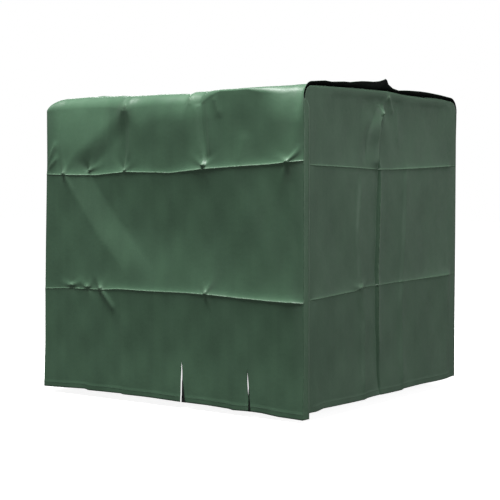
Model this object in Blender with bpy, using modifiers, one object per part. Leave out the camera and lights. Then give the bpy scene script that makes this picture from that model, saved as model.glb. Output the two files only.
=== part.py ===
"""Fitted cloth cover for a cube-shaped water tank, in metres with +Z up.

One long cloth, the wrap, covers the front, the top and the back. Its front edges turn a little way round the
corners onto the ends. Two end panels close the sides. The origin is under the middle, at the lowest hem.
"""

import math
from collections import namedtuple

import bmesh
import bpy
import numpy as np

# Overall size: X along the front, Y from front to back
LENGTH = 1.20
WIDTH = 1.10
CLOTH = 0.002
GAP = 0.0003
SHOULDER = 0.050  # radius of the long top edges

# The wrap's front edges, turned round the corners onto the ends
TURN_WIDTH = 0.030
TURN_TOP = 1.040
TURN_TAPER = 0.060
TURN_CHAMFER = 0.0025

# The wrap's edge at the lifted end stands up over this depth, and at the other end it droops
LIP_DEPTH = 0.032
LIP_FADE = 0.110  # how far down the corners the lifted edge fades out
LIP_POWER = 1.7  # how late the edge turns up
LIP_AT_CORNERS = 0.25  # share of the lift where the rounded corners begin
DROOP = 0.026
DROOP_DEPTH = 0.050
DROOP_SLACK = 0.0012  # the drooping edge lies aslant, so the panel under it ends this much lower
FAR_SPLAY = 0.019  # how far the hem of the far end stands out
SPLAY_TOP = 0.85

# The front wall from left to right: hem, the two packing folds, the top, and how far each fold stands out
Front = namedtuple("Front", "x hem low high top low_ridge high_ridge")
FRONT = (
    Front(-0.60, 0.008, 0.391, 0.836, 1.127, 0.003, 0.003),
    Front(-0.45, 0.013, 0.399, 0.833, 1.135, 0.004, 0.006),
    Front(-0.35, 0.014, 0.399, 0.831, 1.133, 0.008, 0.009),
    Front(-0.20, 0.016, 0.406, 0.841, 1.127, 0.009, 0.011),
    Front(-0.07, 0.014, 0.405, 0.838, 1.129, 0.009, 0.010),
    Front(0.08, 0.012, 0.406, 0.838, 1.127, 0.010, 0.012),
    Front(0.19, 0.012, 0.405, 0.848, 1.132, 0.012, 0.014),
    Front(0.33, 0.008, 0.399, 0.854, 1.133, 0.012, 0.012),
    Front(0.46, 0.006, 0.395, 0.859, 1.138, 0.012, 0.013),
    Front(0.54, 0.001, 0.394, 0.864, 1.141, 0.013, 0.014),
    Front(0.60, 0.000, 0.393, 0.869, 1.137, 0.006, 0.006),
)

# An end panel from front to back, with the same sizes
End = namedtuple("End", "y hem low high top low_ridge high_ridge")
NEAR_END = (
    End(-0.55, 0.018, 0.398, 0.856, 1.121, 0.001, 0.001),
    End(-0.40, 0.024, 0.407, 0.854, 1.127, 0.004, 0.003),
    End(-0.29, 0.022, 0.411, 0.853, 1.130, 0.005, 0.003),
    End(-0.19, 0.021, 0.424, 0.851, 1.133, 0.004, 0.003),
    End(-0.10, 0.023, 0.426, 0.849, 1.135, 0.003, 0.003),
    End(-0.03, 0.023, 0.427, 0.849, 1.137, 0.003, 0.003),
    End(0.01, 0.022, 0.428, 0.850, 1.137, 0.003, 0.004),
    End(0.06, 0.021, 0.430, 0.851, 1.135, 0.004, 0.004),
    End(0.15, 0.024, 0.432, 0.855, 1.132, 0.005, 0.005),
    End(0.27, 0.025, 0.434, 0.860, 1.131, 0.007, 0.005),
    End(0.41, 0.022, 0.437, 0.866, 1.134, 0.009, 0.006),
    End(0.55, 0.023, 0.441, 0.873, 1.126, 0.004, 0.004),
)
FAR_END = (
    End(-0.55, 0.010, 0.392, 0.830, 1.128, 0.002, 0.002),
    End(-0.20, 0.016, 0.398, 0.822, 1.131, 0.006, 0.005),
    End(0.10, 0.013, 0.405, 0.828, 1.129, 0.005, 0.006),
    End(0.55, 0.018, 0.410, 0.824, 1.126, 0.002, 0.002),
)

# The wrap's lifted edge over the near end panel
Lip = namedtuple("Lip", "y height")
LIP = (
    Lip(-0.55, 1.131),
    Lip(-0.40, 1.146),
    Lip(-0.29, 1.150),
    Lip(-0.19, 1.158),
    Lip(-0.10, 1.164),
    Lip(-0.03, 1.177),
    Lip(-0.01, 1.183),
    Lip(0.01, 1.160),
    Lip(0.06, 1.143),
    Lip(0.15, 1.149),
    Lip(0.27, 1.152),
    Lip(0.41, 1.149),
    Lip(0.55, 1.144),
)

# The back wall, seen along the same X, with the same columns as the front
BACK = (
    Front(-0.60, 0.018, 0.410, 0.824, 1.126, 0.000, 0.000),
    Front(-0.25, 0.014, 0.404, 0.829, 1.130, 0.007, 0.006),
    Front(0.10, 0.019, 0.412, 0.823, 1.129, 0.006, 0.007),
    Front(0.45, 0.016, 0.420, 0.818, 1.131, 0.007, 0.006),
    Front(0.60, 0.023, 0.441, 0.873, 1.126, 0.000, 0.000),
)

# Cuts up from the front hem beside the tap: place at top and hem, width at hem and at mid height
Slit = namedtuple("Slit", "top_x hem_x top_z hem_width middle_width")
SLITS = (
    Slit(0.074, 0.084, 0.156, 0.025, 0.007),
    Slit(0.369, 0.386, 0.148, 0.0015, 0.0055),
)
SLIT_HEM = 0.012
SLIT_LEAN = 1.5  # how late a slit leaves the upright
SLIT_FLARE = 2.4  # how late it opens
SLIT_PAST_HEM = 1.1

# Creases that cross a wall: from one point to another, depth in or height out, and reach to either side
CREASE_END = 0.08  # share of a crease over which each end of it eases in
Crease = namedtuple("Crease", "start end rise left right")
FRONT_CREASES = (
    Crease((-0.18, 0.860), (-0.18, 1.100), 0.004, 0.020, 0.030),
    Crease((0.190, 0.860), (0.125, 1.130), 0.007, 0.007, 0.050),
)
END_CREASES = (
    Crease((-0.25, 0.300), (-0.20, 0.830), 0.003, 0.025, 0.025),
    Crease((0.110, 0.020), (0.110, 1.000), 0.003, 0.040, 0.018),
    Crease((-0.12, 0.880), (-0.07, 1.070), 0.009, 0.045, 0.012),
)
TOP_CREASES = (
    Crease((-0.20, -0.50), (-0.20, 0.50), 0.005, 0.030, 0.030),
    Crease((0.19, -0.50), (0.19, 0.50), 0.005, 0.030, 0.030),
    Crease((-0.55, 0.02), (0.56, -0.01), 0.007, 0.050, 0.040),
)
BACK_CREASES = (
    Crease((-0.21, 0.010), (-0.21, 1.120), 0.005, 0.030, 0.030),
    Crease((0.18, 0.010), (0.18, 1.120), -0.005, 0.030, 0.030),
)

# A slanting line on the front: the cloth falls back on its upper right over the reach and eases out again
Slope = namedtuple("Slope", "start end depth reach")
FRONT_SLOPE = Slope((-0.190, 0.490), (-0.510, 0.840), 0.014, 0.060)

# How far the front leans back below the shoulder, and the height where the lean starts
Lean = namedtuple("Lean", "x depth start")
LEANS = (
    Lean(-0.60, 0.000, 0.900),
    Lean(-0.54, 0.024, 0.900),
    Lean(-0.44, 0.036, 0.900),
    Lean(-0.32, 0.030, 0.905),
    Lean(-0.24, 0.010, 0.910),
    Lean(-0.20, 0.002, 0.950),
    Lean(-0.15, 0.009, 1.010),
    Lean(0.12, 0.008, 1.010),
    Lean(0.22, 0.000, 1.015),
    Lean(0.43, 0.000, 1.020),
    Lean(0.50, 0.012, 1.010),
    Lean(0.535, 0.024, 0.990),
    Lean(0.568, 0.000, 0.985),
    Lean(0.60, 0.000, 0.985),
)
LEAN_SPAN = 0.8  # share of the shoulder's radius that the lean doesn't reach

# The long upright crease of the near end panel, which bends near the top: height and place
Bend = namedtuple("Bend", "z y")
MIDDLE_CREASE = (
    Bend(0.02, -0.052),
    Bend(0.25, -0.072),
    Bend(0.45, -0.077),
    Bend(0.81, -0.066),
    Bend(0.96, -0.060),
    Bend(1.06, -0.042),
    Bend(1.14, 0.003),
)
MIDDLE = MIDDLE_CREASE[2].y
MIDDLE_DEPTH = 0.006
MIDDLE_REACH = 0.012
MIDDLE_PULL = 0.40  # how far to either side the panel's columns follow the crease

# A fold stands out at its line, eases back above it and turns in sharply below it
FOLD_ABOVE = 0.034
FOLD_BELOW = 0.006
HEM_FLARE = 0.006
HEM_FLARE_HEIGHT = 0.20
CORNER_FADE = 0.050
PANEL_RIM = 0.042  # the flat strip along each upright edge of an end panel
RELIEF_FADE = 0.060  # walls are smooth again this far below the long top edges
PANEL_FLAT = 0.020  # an end panel is flat this far below its top edge
PANEL_FADE = 0.030

# Where the rows and columns of each cloth lie, as shares of a band or as places
BAND_SHARES = (0.0, 0.035, 0.11, 0.28, 0.52, 0.78, 0.982)
FRONT_SHARES = (0.0, 0.035, 0.10, 0.22, 0.36, 0.50, 0.64, 0.78, 0.90, 0.982)
ARC_ANGLES = (22.5, 45.0, 67.5)
FRONT_KEYS = (-0.60, -0.52, -0.20, SLITS[0].top_x, SLITS[1].top_x, 0.548, 0.60)
FRONT_CELLS = (2, 10, 6, 6, 4, 2)
EDGE_COLUMNS = (-0.592, -0.576, 0.568, 0.580, 0.591)
TOP_KEYS = (-0.50, -0.465, -0.11, -0.07, -0.03, -0.01, 0.01, 0.06, 0.465, 0.50)
TOP_CELLS = (1, 3, 1, 1, 1, 1, 1, 4, 1)

# The near end panel rolls over at its top and is tucked in under the wrap
ROLL = 0.008
TUCK = 0.030
BLEND_REACH = LENGTH / 2 - TUCK - 0.01  # the wrap's top lies level from here to either end

# The cloth's finish
GREEN_WRAP = (0.047, 0.094, 0.058)
GREEN_END = (0.042, 0.085, 0.053)
ROUGHNESS = 0.42


def column(table, name, at):
    """Heights or sizes in a table's column, read between its rows at the places given."""
    places = [row[0] for row in table]
    return np.interp(at, places, [getattr(row, name) for row in table])


def spaced(keys, cells):
    """Places from key to key, with the number of cells given for each stretch."""
    runs = [np.linspace(a, b, n, endpoint=False) for a, b, n in zip(keys, keys[1:], cells)]
    return np.append(np.concatenate(runs), keys[-1])


def smooth(share):
    """An even rise from 0 to 1, level at both ends."""
    share = np.clip(share, 0.0, 1.0)
    return share * share * (3.0 - 2.0 * share)


def crease_relief(crease, across, up):
    """Height of one crease over a wall, steep on its left and easing off on its right."""
    start, end = np.array(crease.start), np.array(crease.end)
    run = end - start
    length = math.hypot(*run)
    along = ((across - start[0]) * run[0] + (up - start[1]) * run[1]) / length**2
    aside = ((across - start[0]) * run[1] - (up - start[1]) * run[0]) / length
    flank = np.where(aside < 0.0, np.exp(aside / crease.left), np.exp(-aside / crease.right))
    fade = smooth(0.5 + along / (2 * CREASE_END)) * smooth(0.5 + (1 - along) / (2 * CREASE_END))
    return crease.rise * flank * fade


def slope_relief(slope, across, up):
    """Depth of a slope beside its line: s e^(1 - s), where s is the distance over the reach."""
    start, end = np.array(slope.start), np.array(slope.end)
    run = end - start
    length = math.hypot(*run)
    along = ((across - start[0]) * run[0] + (up - start[1]) * run[1]) / length**2
    aside = ((across - start[0]) * run[1] - (up - start[1]) * run[0]) / length
    away = np.clip(aside, 0.0, None) / slope.reach
    fade = smooth(0.5 + along / (2 * CREASE_END)) * smooth(0.5 + (1 - along) / (2 * CREASE_END))
    return -slope.depth * away * np.exp(1.0 - away) * fade


def fold_relief(table, name, across, up):
    """Height of a packing fold that runs along the wall."""
    above = up - column(table, name, across)
    ridge = column(table, name + "_ridge", across)
    return ridge * np.where(above < 0.0, np.exp(above / FOLD_BELOW), np.exp(-above / FOLD_ABOVE))


def wall_relief(table, creases, across, up, inside):
    """How far a wall stands out of its plane: folds, creases away from the corners, and the hem's flare."""
    relief = fold_relief(table, "low", across, up) + fold_relief(table, "high", across, up)
    for crease in creases:
        relief = relief + crease_relief(crease, across, up) * inside
    relief = relief + HEM_FLARE * smooth(1.0 - up / HEM_FLARE_HEIGHT)
    top = column(table, "top", across) - SHOULDER
    return relief * smooth((top - up) / RELIEF_FADE)


def splay(z):
    """How far the far end stands out at a height, most at the hem."""
    return FAR_SPLAY * (1.0 - np.clip(z / SPLAY_TOP, 0.0, 1.0) ** 2)


def splayed(x, z):
    """The place along the front of a point that the far end's splay carries outward."""
    return x + splay(z) * np.minimum(x, 0.0) / (LENGTH / 2)


def bands(lines, shares=BAND_SHARES):
    """Rows between the lines given, closer together beside each line."""
    rows = [low + (high - low) * share for low, high in zip(lines, lines[1:]) for share in shares]
    return np.stack(rows + [lines[-1]], axis=1)


def top_height(x, y):
    """Height of the wrap's top: the four edges' heights, blended over the middle."""
    p = np.clip(0.5 + x / (2 * BLEND_REACH), 0.0, 1.0)
    q = np.clip(0.5 + y / (WIDTH - 2 * SHOULDER), 0.0, 1.0)
    near = column(NEAR_END, "top", y) + CLOTH + GAP
    far = column(FAR_END, "top", y)
    front, back = column(FRONT, "top", x), column(BACK, "top", x)
    corners = (1 - q) * ((1 - p) * FRONT[0].top + p * FRONT[-1].top)
    corners = corners + q * ((1 - p) * BACK[0].top + p * BACK[-1].top)
    return (1 - q) * front + q * back + (1 - p) * far + p * near - corners


def lifted(x, y):
    """How far the wrap's edge at the near end stands up off the end panel."""
    lip = column(LIP, "height", y) - column(NEAR_END, "top", y) - CLOTH
    return lip * np.clip((x - LENGTH / 2) / LIP_DEPTH + 1.0, 0.0, 1.0) ** LIP_POWER


def drooped(x):
    """How far the wrap's edge at the far end comes down over that panel, in a drawn-out quarter circle."""
    past = np.clip(1.0 - (x + LENGTH / 2) / DROOP_DEPTH, 0.0, 1.0)
    return DROOP * (1.0 - np.sqrt(1.0 - past**2))


def wrap_columns():
    """Places of the wrap's columns along the front, a pair where each slit lies, and which starts a slit."""
    places = spaced(FRONT_KEYS, FRONT_CELLS)
    places = np.sort(np.append(places, EDGE_COLUMNS))
    for slit in SLITS:
        places = np.insert(places, np.searchsorted(places, slit.top_x), slit.top_x)
    starts = [int(np.searchsorted(places, slit.top_x)) for slit in SLITS]
    return places, starts


def slit_shift(slit, z, side):
    """How far a slit's side lies from the slit's top at a height."""
    down = np.clip((slit.top_z - z) / (slit.top_z - SLIT_HEM), 0.0, SLIT_PAST_HEM)
    middle = slit.middle_width * np.sin(math.pi * np.clip(down, 0.0, 1.0))
    width = middle + slit.hem_width * down**SLIT_FLARE
    return (slit.hem_x - slit.top_x) * down**SLIT_LEAN + side * width / 2


def wrap_grid():
    """Points of the wrap's outer face: columns along X, rows from the front hem over to the back hem."""
    x, starts = wrap_columns()
    count = len(x)
    reach = WIDTH / 2
    flat = reach - SHOULDER
    front_top, back_top = top_height(x, -flat + 0 * x), top_height(x, flat + 0 * x)
    lean, start = column(LEANS, "depth", x), column(LEANS, "start", x)
    tilt = np.arctan(2 * lean / (front_top - LEAN_SPAN * SHOULDER - start))
    spring = front_top - SHOULDER * (1.0 - np.sin(tilt))
    centre = lean - reach + SHOULDER * np.cos(tilt)
    lines = [column(FRONT, name, x) for name in ("hem", "low", "high")]
    front_z = bands(lines + [spring], FRONT_SHARES)
    lines = [column(BACK, name, x) for name in ("hem", "low", "high")]
    back_z = bands(lines + [back_top - SHOULDER])[:, ::-1]
    arc = np.radians(ARC_ANGLES)
    top_y = spaced(TOP_KEYS, TOP_CELLS)

    y_rows, z_rows, turn_rows = [], [], []
    for z in front_z.T:
        y_rows.append(lean * np.clip((z - start) / (spring - start), 0.0, 1.0) ** 2 - reach)
        z_rows.append(z)
        turn_rows.append(0.0)
    for angle in arc:
        turned = tilt + (1.0 - tilt / (math.pi / 2)) * angle
        y_rows.append(centre - SHOULDER * np.cos(turned))
        z_rows.append(front_top - SHOULDER * (1.0 - np.sin(turned)))
        turn_rows.append(angle)
    for y in top_y:
        level_y = y * -centre / flat if y < 0.0 else np.full(count, y)
        y_rows.append(level_y)
        z_rows.append(top_height(x, level_y))
        turn_rows.append(math.pi / 2)
    for angle in arc[::-1]:
        y_rows.append(np.full(count, flat + SHOULDER * math.cos(angle)))
        z_rows.append(back_top - SHOULDER + SHOULDER * math.sin(angle))
        turn_rows.append(math.pi - angle)
    for z in back_z.T:
        y_rows.append(np.full(count, reach))
        z_rows.append(z)
        turn_rows.append(math.pi)
    y, z, turn = np.stack(y_rows, 1), np.stack(z_rows, 1), np.array(turn_rows)

    x_grid = np.broadcast_to(x[:, None], y.shape)
    fade = smooth((LENGTH / 2 - np.abs(x_grid)) / CORNER_FADE)
    front, back = turn == 0.0, turn == math.pi
    level = np.isclose(turn, math.pi / 2)
    relief = np.zeros_like(z)
    relief[:, front] = wall_relief(FRONT, FRONT_CREASES, x_grid[:, front], z[:, front], fade[:, front])
    relief[:, front] += slope_relief(FRONT_SLOPE, x_grid[:, front], z[:, front]) * fade[:, front]
    relief[:, back] = wall_relief(BACK, BACK_CREASES, x_grid[:, back], z[:, back], 1.0) * fade[:, back]
    for crease in TOP_CREASES:
        height = crease_relief(crease, x_grid, y) * smooth((flat - np.abs(y)) / RELIEF_FADE) * fade
        relief[:, level] += height[:, level]
    springs = np.where(turn < math.pi / 2, front_top[:, None], back_top[:, None]) - SHOULDER
    rise = np.where(level, 1.0, LIP_AT_CORNERS + (1 - LIP_AT_CORNERS) * np.sin(turn))
    rise = rise * smooth((z - springs + LIP_FADE) / LIP_FADE)
    relief = relief + lifted(x_grid, np.clip(y, -flat, flat)) * rise
    y = y - relief * np.cos(turn)
    z = z + (relief - drooped(x_grid)) * np.sin(turn)
    x_moved = splayed(x_grid, z).copy()
    for slit, start in zip(SLITS, starts):
        for side, index in ((-1, start), (1, start + 1)):
            x_moved[index, front] += slit_shift(slit, z[index, front], side)
    return np.stack([x_moved, y, z], axis=2), starts, int(front.sum())


def turned_edge(edge, side):
    """Columns that carry the wrap's front edge round a corner, narrowing to nothing at the top."""
    z = edge[:, 2]
    width = TURN_WIDTH * smooth((TURN_TOP + TURN_TAPER - z) / TURN_TAPER)
    width[-1] = 0.0
    outer = edge[:, 0] + side * (CLOTH + GAP)
    columns = [edge]
    for share in (0.0, 0.5, 1.0):
        start = np.maximum(edge[:, 1], -WIDTH / 2) + TURN_CHAMFER
        columns.append(np.stack([outer, start + width * share, z], axis=1))
    return np.stack(columns[::side], axis=0)


def panel_grid(side, table, creases, over, droop, roll, tuck):
    """Points of an end panel's outer face: its columns from front to back, its rows from the hem up."""
    flat = WIDTH / 2 - SHOULDER
    inset = CLOTH + GAP
    across = spaced(TOP_KEYS, TOP_CELLS) / flat
    narrow = np.where(across < 0.0, TURN_CHAMFER, 0.0)
    wide = WIDTH / 2 - inset - narrow
    base = across * wide
    lines = [column(table, name, base) for name in ("hem", "low", "high")]
    top = column(table, "top", across * flat) + over
    rows = list(bands(lines + [top - SHOULDER]).T)
    y_rows = [base] * len(rows)
    for angle in np.radians(ARC_ANGLES + (90.0,)):
        y_rows.append(across * (flat + (SHOULDER - inset - narrow) * math.cos(angle)))
        rows.append(top - SHOULDER + (SHOULDER - inset - droop) * math.sin(angle))
    y, z = np.stack(y_rows, 1), np.stack(rows, 1)
    top = z[:, -1]
    bent = np.interp(z, [row.z for row in MIDDLE_CREASE], [row.y for row in MIDDLE_CREASE])
    if side > 0:
        pull = (bent - MIDDLE) * smooth(1.0 - np.abs(y - MIDDLE) / MIDDLE_PULL)
        y = y + pull * smooth((top[:, None] - z) / RELIEF_FADE)
    relief = wall_relief(table, creases, y, z, 1.0)
    if side > 0:
        groove = np.exp(-(((y - bent) / MIDDLE_REACH) ** 2))
        relief = relief - MIDDLE_DEPTH * groove
    edges = smooth((wide[:, None] - PANEL_RIM - np.abs(y)) / CORNER_FADE)
    relief = relief * edges * smooth((top[:, None] - PANEL_FLAT - z) / PANEL_FADE)
    below = np.clip((z - top[:, None] + roll) / max(roll, GAP), 0.0, 1.0)
    x = LENGTH / 2 + relief - roll * (1.0 - np.sqrt(1.0 - below**2))
    if side < 0:
        x = x + splay(z)
    grid = np.stack([side * x, y, z], axis=2)
    if tuck:
        inner = grid[:, -1:, :].copy()
        inner[:, :, 0] = side * (LENGTH / 2 - tuck)
        grid = np.concatenate([grid, inner], axis=1)
    return grid[::side]


def cells(columns, rows, offset=0, skipped=()):
    """Four-sided faces between neighbouring columns and rows, leaving out the cells that start at a slit."""
    faces = []
    for i in range(columns - 1):
        if i in skipped:
            continue
        for j in range(rows - 1):
            a = offset + i * rows + j
            faces.append((a, a + rows, a + rows + 1, a + 1))
    return faces


def cloth(name, points, faces, colour, collection):
    """A sheet of cloth from the points of its outer face, with its thickness inward."""
    mesh = bpy.data.meshes.new(name)
    mesh.from_pydata(points.tolist(), [], faces)
    shape = bmesh.new()
    shape.from_mesh(mesh)
    bmesh.ops.remove_doubles(shape, verts=shape.verts, dist=GAP / 10)
    shape.to_mesh(mesh)
    shape.free()
    mesh.shade_smooth()
    mesh.materials.append(colour)
    piece = bpy.data.objects.new(name, mesh)
    collection.objects.link(piece)
    wall = piece.modifiers.new("thickness", "SOLIDIFY")
    wall.thickness = CLOTH
    wall.offset = -1.0
    return piece


def coated_cloth(name, base):
    """Coated cloth with a low sheen."""
    material = bpy.data.materials.new(name)
    material.use_nodes = True
    shader = material.node_tree.nodes["Principled BSDF"]
    shader.inputs["Base Color"].default_value = (*base, 1.0)
    shader.inputs["Roughness"].default_value = ROUGHNESS
    shader.inputs["Metallic"].default_value = 0.0
    return material


def build_wrap(collection):
    """The cloth over front, top and back, with its turned front edges."""
    grid, starts, front_rows = wrap_grid()
    columns, rows = grid.shape[:2]
    points = [grid.reshape(-1, 3)]
    faces = cells(columns, rows, skipped=starts)
    offset = columns * rows
    for side, edge in ((1, grid[-1]), (-1, grid[0])):
        turn = turned_edge(edge[:front_rows], side)
        faces += cells(len(turn), front_rows, offset)
        points.append(turn.reshape(-1, 3))
        offset += turn.shape[0] * front_rows
    green = coated_cloth("green_wrap_cloth", GREEN_WRAP)
    cloth("wrap", np.concatenate(points), faces, green, collection)


def build_end_panels(collection):
    """The two cloths that close the ends."""
    green = coated_cloth("green_near_end_cloth", GREEN_END)
    near = panel_grid(1, NEAR_END, END_CREASES, CLOTH + GAP, 0.0, ROLL, TUCK)
    cloth("near_end_panel", near.reshape(-1, 3), cells(*near.shape[:2]), green, collection)
    far_green = coated_cloth("green_far_end_cloth", GREEN_END)
    far = panel_grid(-1, FAR_END, (), 0.0, DROOP + DROOP_SLACK, 0.0, 0.0)
    cloth("far_end_panel", far.reshape(-1, 3), cells(*far.shape[:2]), far_green, collection)


def main():
    for item in list(bpy.data.objects):
        bpy.data.objects.remove(item, do_unlink=True)
    collection = bpy.data.collections.new("water_tank_cover")
    bpy.context.scene.collection.children.link(collection)
    build_wrap(collection)
    build_end_panels(collection)


main()
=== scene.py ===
"""Looks of a fitted cloth cover for a cube-shaped water tank.

The cover is three cloths: a wrap over the front, the top and the back, and two end panels. Each is a thin
sheet with a green coated outside and a black inside. Its surface is a flat wall plus relief: two packing
folds that run all the way round, creases, pinches where folds meet, and the slack of cloth that hangs free.
All sizes are in metres, with +X along the front wall, +Y from front to back and +Z up.
"""

from __future__ import annotations

import logging
import math
from dataclasses import dataclass
from enum import Enum

import bmesh
import bpy
import numpy as np
from mathutils import Euler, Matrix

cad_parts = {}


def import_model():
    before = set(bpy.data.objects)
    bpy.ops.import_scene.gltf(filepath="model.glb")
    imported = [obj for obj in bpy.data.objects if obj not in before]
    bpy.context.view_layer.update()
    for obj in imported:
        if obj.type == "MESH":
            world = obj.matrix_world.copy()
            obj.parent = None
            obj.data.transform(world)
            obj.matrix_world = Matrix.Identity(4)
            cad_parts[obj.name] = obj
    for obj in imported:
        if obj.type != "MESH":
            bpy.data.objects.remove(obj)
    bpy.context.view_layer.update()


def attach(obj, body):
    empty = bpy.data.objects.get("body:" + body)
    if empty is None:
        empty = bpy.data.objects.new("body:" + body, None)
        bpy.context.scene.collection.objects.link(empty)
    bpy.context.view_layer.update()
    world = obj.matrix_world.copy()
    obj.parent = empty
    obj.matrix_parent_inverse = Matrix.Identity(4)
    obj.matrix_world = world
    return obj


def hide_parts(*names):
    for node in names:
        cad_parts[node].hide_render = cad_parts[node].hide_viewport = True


LOG = logging.getLogger("tank_cover")
Array = np.ndarray

WHITE = (1.0, 1.0, 1.0)
MILLIMETRES = 1000.0  # in one metre
CLOTH = 0.0010  # thickness of each cloth
GAP = 0.0003  # room between two cloths that lie on each other
DROOP_ROOM = 0.0012  # how much further the far end panel's top edge stays down under the drooping wrap


class Face(Enum):
    """The side of a cloth that a material slot dresses."""

    OUTSIDE = 0
    INSIDE = 1


class Side(Enum):
    """The end of the cover that a panel closes, as the sign of its X."""

    NEAR = 1
    FAR = -1


def smooth(share: Array | float) -> Array:
    """Ease a share from 0 to 1, level at both ends: 3s^2 - 2s^3.

    Args:
        share: the share, of any shape; it is clipped to 0 and 1 first.

    Returns:
        The eased share.
    """
    share = np.clip(share, 0.0, 1.0)
    return share * share * (3.0 - 2.0 * share)


def curve(at: Array, places: tuple, values: Array) -> Array:
    """Read a smooth curve through values at places: a cubic Hermite piece in each gap, with averaged slopes.

    Args:
        at: where to read, of any shape.
        places: rising places of the values.
        values: one value, or one array shaped like at, for each place.

    Returns:
        The values read, shaped like at.
    """
    places, values = np.array(places, float), np.asarray(values, float)
    slopes = np.gradient(values, places, axis=0)
    low = np.clip(np.searchsorted(places, at, side="right") - 1, 0, len(places) - 2)
    gap = places[low + 1] - places[low]
    t = np.clip((at - places[low]) / gap, 0.0, 1.0)

    def pick(rows: Array, index: Array) -> Array:
        """Take each point's own row."""
        return rows[index] if rows.ndim == 1 else np.take_along_axis(rows, index[None], 0)[0]

    from_low = (2 * t**3 - 3 * t**2 + 1) * pick(values, low) + (t**3 - 2 * t**2 + t) * gap * pick(slopes, low)
    to_high = (3 * t**2 - 2 * t**3) * pick(values, low + 1) + (t**3 - t**2) * gap * pick(slopes, low + 1)
    return from_low + to_high


def stretch(keys: tuple, cells: tuple) -> Array:
    """Even places from key to key, with the number of cells given for each run.

    Args:
        keys: the ends of the runs, rising.
        cells: how many cells each run has.

    Returns:
        All the places, both ends included.
    """
    runs = [np.linspace(a, b, n, endpoint=False) for a, b, n in zip(keys, keys[1:], cells)]
    return np.append(np.concatenate(runs), keys[-1])


def crowded(count: int, crowding: float = 0.55) -> Array:
    """Shares from 0 up to but without 1, closer together near both ends.

    The step follows 1 - c cos(2 pi s), so the share is s - c sin(2 pi s) / (2 pi).

    Args:
        count: how many shares.
        crowding: c, from 0 for even steps to 1.

    Returns:
        The shares.
    """
    share = np.linspace(0.0, 1.0, count, endpoint=False)
    return share - crowding * np.sin(2 * math.pi * share) / (2 * math.pi)


@dataclass(frozen=True)
class Path:
    """A line over a wall: a height, or a size, at places along it, straight between them."""

    knots: tuple[tuple[float, float], ...]

    def at(self, place: Array) -> Array:
        """Read the line at places along the wall."""
        along, value = zip(*self.knots)
        return np.interp(place, along, value)


@dataclass(frozen=True)
class Fold:
    """A packing fold along a wall. It stands out at its line and eases back above, steeply and then slowly.

    Below the line a small lip turns in sharply, and the rest of the ridge goes back over a long way. The
    steep and slow reaches are shares of the reach above.
    """

    line: Path
    ridge: Path
    above: float = 0.030
    lip: float = 0.24
    lip_reach: float = 0.0035
    below: float = 0.110
    steep: float = 0.44
    steep_reach: float = 0.4
    slow_reach: float = 1.6
    # The next two fields lighten the colour along the fold line: partly rubbing, partly a painted highlight.
    rub_and_highlight: float = 0.85
    rub_and_highlight_reach: float = 0.0035

    def relief(self, across: Array, up: Array) -> Array:
        """Height out of the wall: the ridge, times a steep and a slow decay on each side of the line.

        Args:
            across: places along the wall.
            up: heights.

        Returns:
            The relief at each point.
        """
        over = up - self.line.at(across)
        steep = self.steep * np.exp(-over / (self.steep_reach * self.above))
        slow = (1.0 - self.steep) * np.exp(-over / (self.slow_reach * self.above))
        under = self.lip * np.exp(over / self.lip_reach) + (1.0 - self.lip) * np.exp(over / self.below)
        return self.ridge.at(across) * np.where(over < 0.0, under, steep + slow)

    def wear_and_highlight(self, across: Array, up: Array) -> Array:
        """Rubbing and painted highlight along the fold: a bell curve across its line, gone a few millimetres
        away.
        """
        return self.rub_and_highlight * np.exp(-(((up - self.line.at(across)) / self.rub_and_highlight_reach) ** 2))


@dataclass(frozen=True)
class Crease:
    """A crease from point to point over a wall, with its own flank on each side.

    Its first and last runs go on straight past its ends, for as many of their lengths as the overrun says.
    """

    points: tuple[tuple[float, float], ...]
    rise: float
    left: float
    right: float
    fade: float = 0.12
    round: float = 0.0025
    # The next two fields lighten the colour along the crease line: partly rubbing, partly a painted
    # highlight.
    rub_and_highlight: float = 0.25
    rub_and_highlight_reach: float = 0.0040
    overrun: float = 9.0

    def nearest(self, across: Array, up: Array) -> tuple[Array, Array]:
        """Measure to the crease's line: the least distance to its straight runs.

        Args:
            across: places along the wall.
            up: heights.

        Returns:
            The distance, negative on the left as the crease runs, and the share of the crease passed.
        """
        points = np.array(self.points)
        runs = np.diff(points, axis=0)
        lengths = np.hypot(runs[:, 0], runs[:, 1])
        passed = np.concatenate([[0.0], np.cumsum(lengths)]) / lengths.sum()
        best = np.full(np.shape(across), np.inf)
        aside, share = np.zeros_like(best), np.zeros_like(best)
        for index, (start, run, length) in enumerate(zip(points, runs, lengths)):
            raw = ((across - start[0]) * run[0] + (up - start[1]) * run[1]) / length**2
            first, last = index == 0, index == len(runs) - 1
            along = np.clip(raw, -self.overrun if first else 0.0, self.overrun if last else 1.0)
            gap_x, gap_z = across - start[0] - along * run[0], up - start[1] - along * run[1]
            distance = np.hypot(gap_x, gap_z)
            side = np.sign((across - start[0]) * run[1] - (up - start[1]) * run[0])
            closer = distance < best
            best = np.where(closer, distance, best)
            aside = np.where(closer, side * distance, aside)
            share = np.where(closer, passed[index] + along * (passed[index + 1] - passed[index]), share)
        return aside, share

    def relief(self, across: Array, up: Array) -> Array:
        """Height out of the wall: the rise, decaying with distance on each side, eased at both ends."""
        aside, share = self.nearest(across, up)
        away = np.sqrt(aside**2 + self.round**2) - self.round
        flank = np.exp(-away / np.where(aside < 0.0, self.left, self.right))
        ends = smooth(share / self.fade + 0.5) * smooth((1.0 - share) / self.fade + 0.5)
        return self.rise * flank * ends

    def wear_and_highlight(self, across: Array, up: Array) -> Array:
        """Rubbing and painted highlight along the crease: a bell curve across its line, eased at both ends.
        """
        aside, share = self.nearest(across, up)
        ends = smooth(share / self.fade) * smooth((1.0 - share) / self.fade)
        return self.rub_and_highlight * np.exp(-((aside / self.rub_and_highlight_reach) ** 2)) * ends


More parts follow.
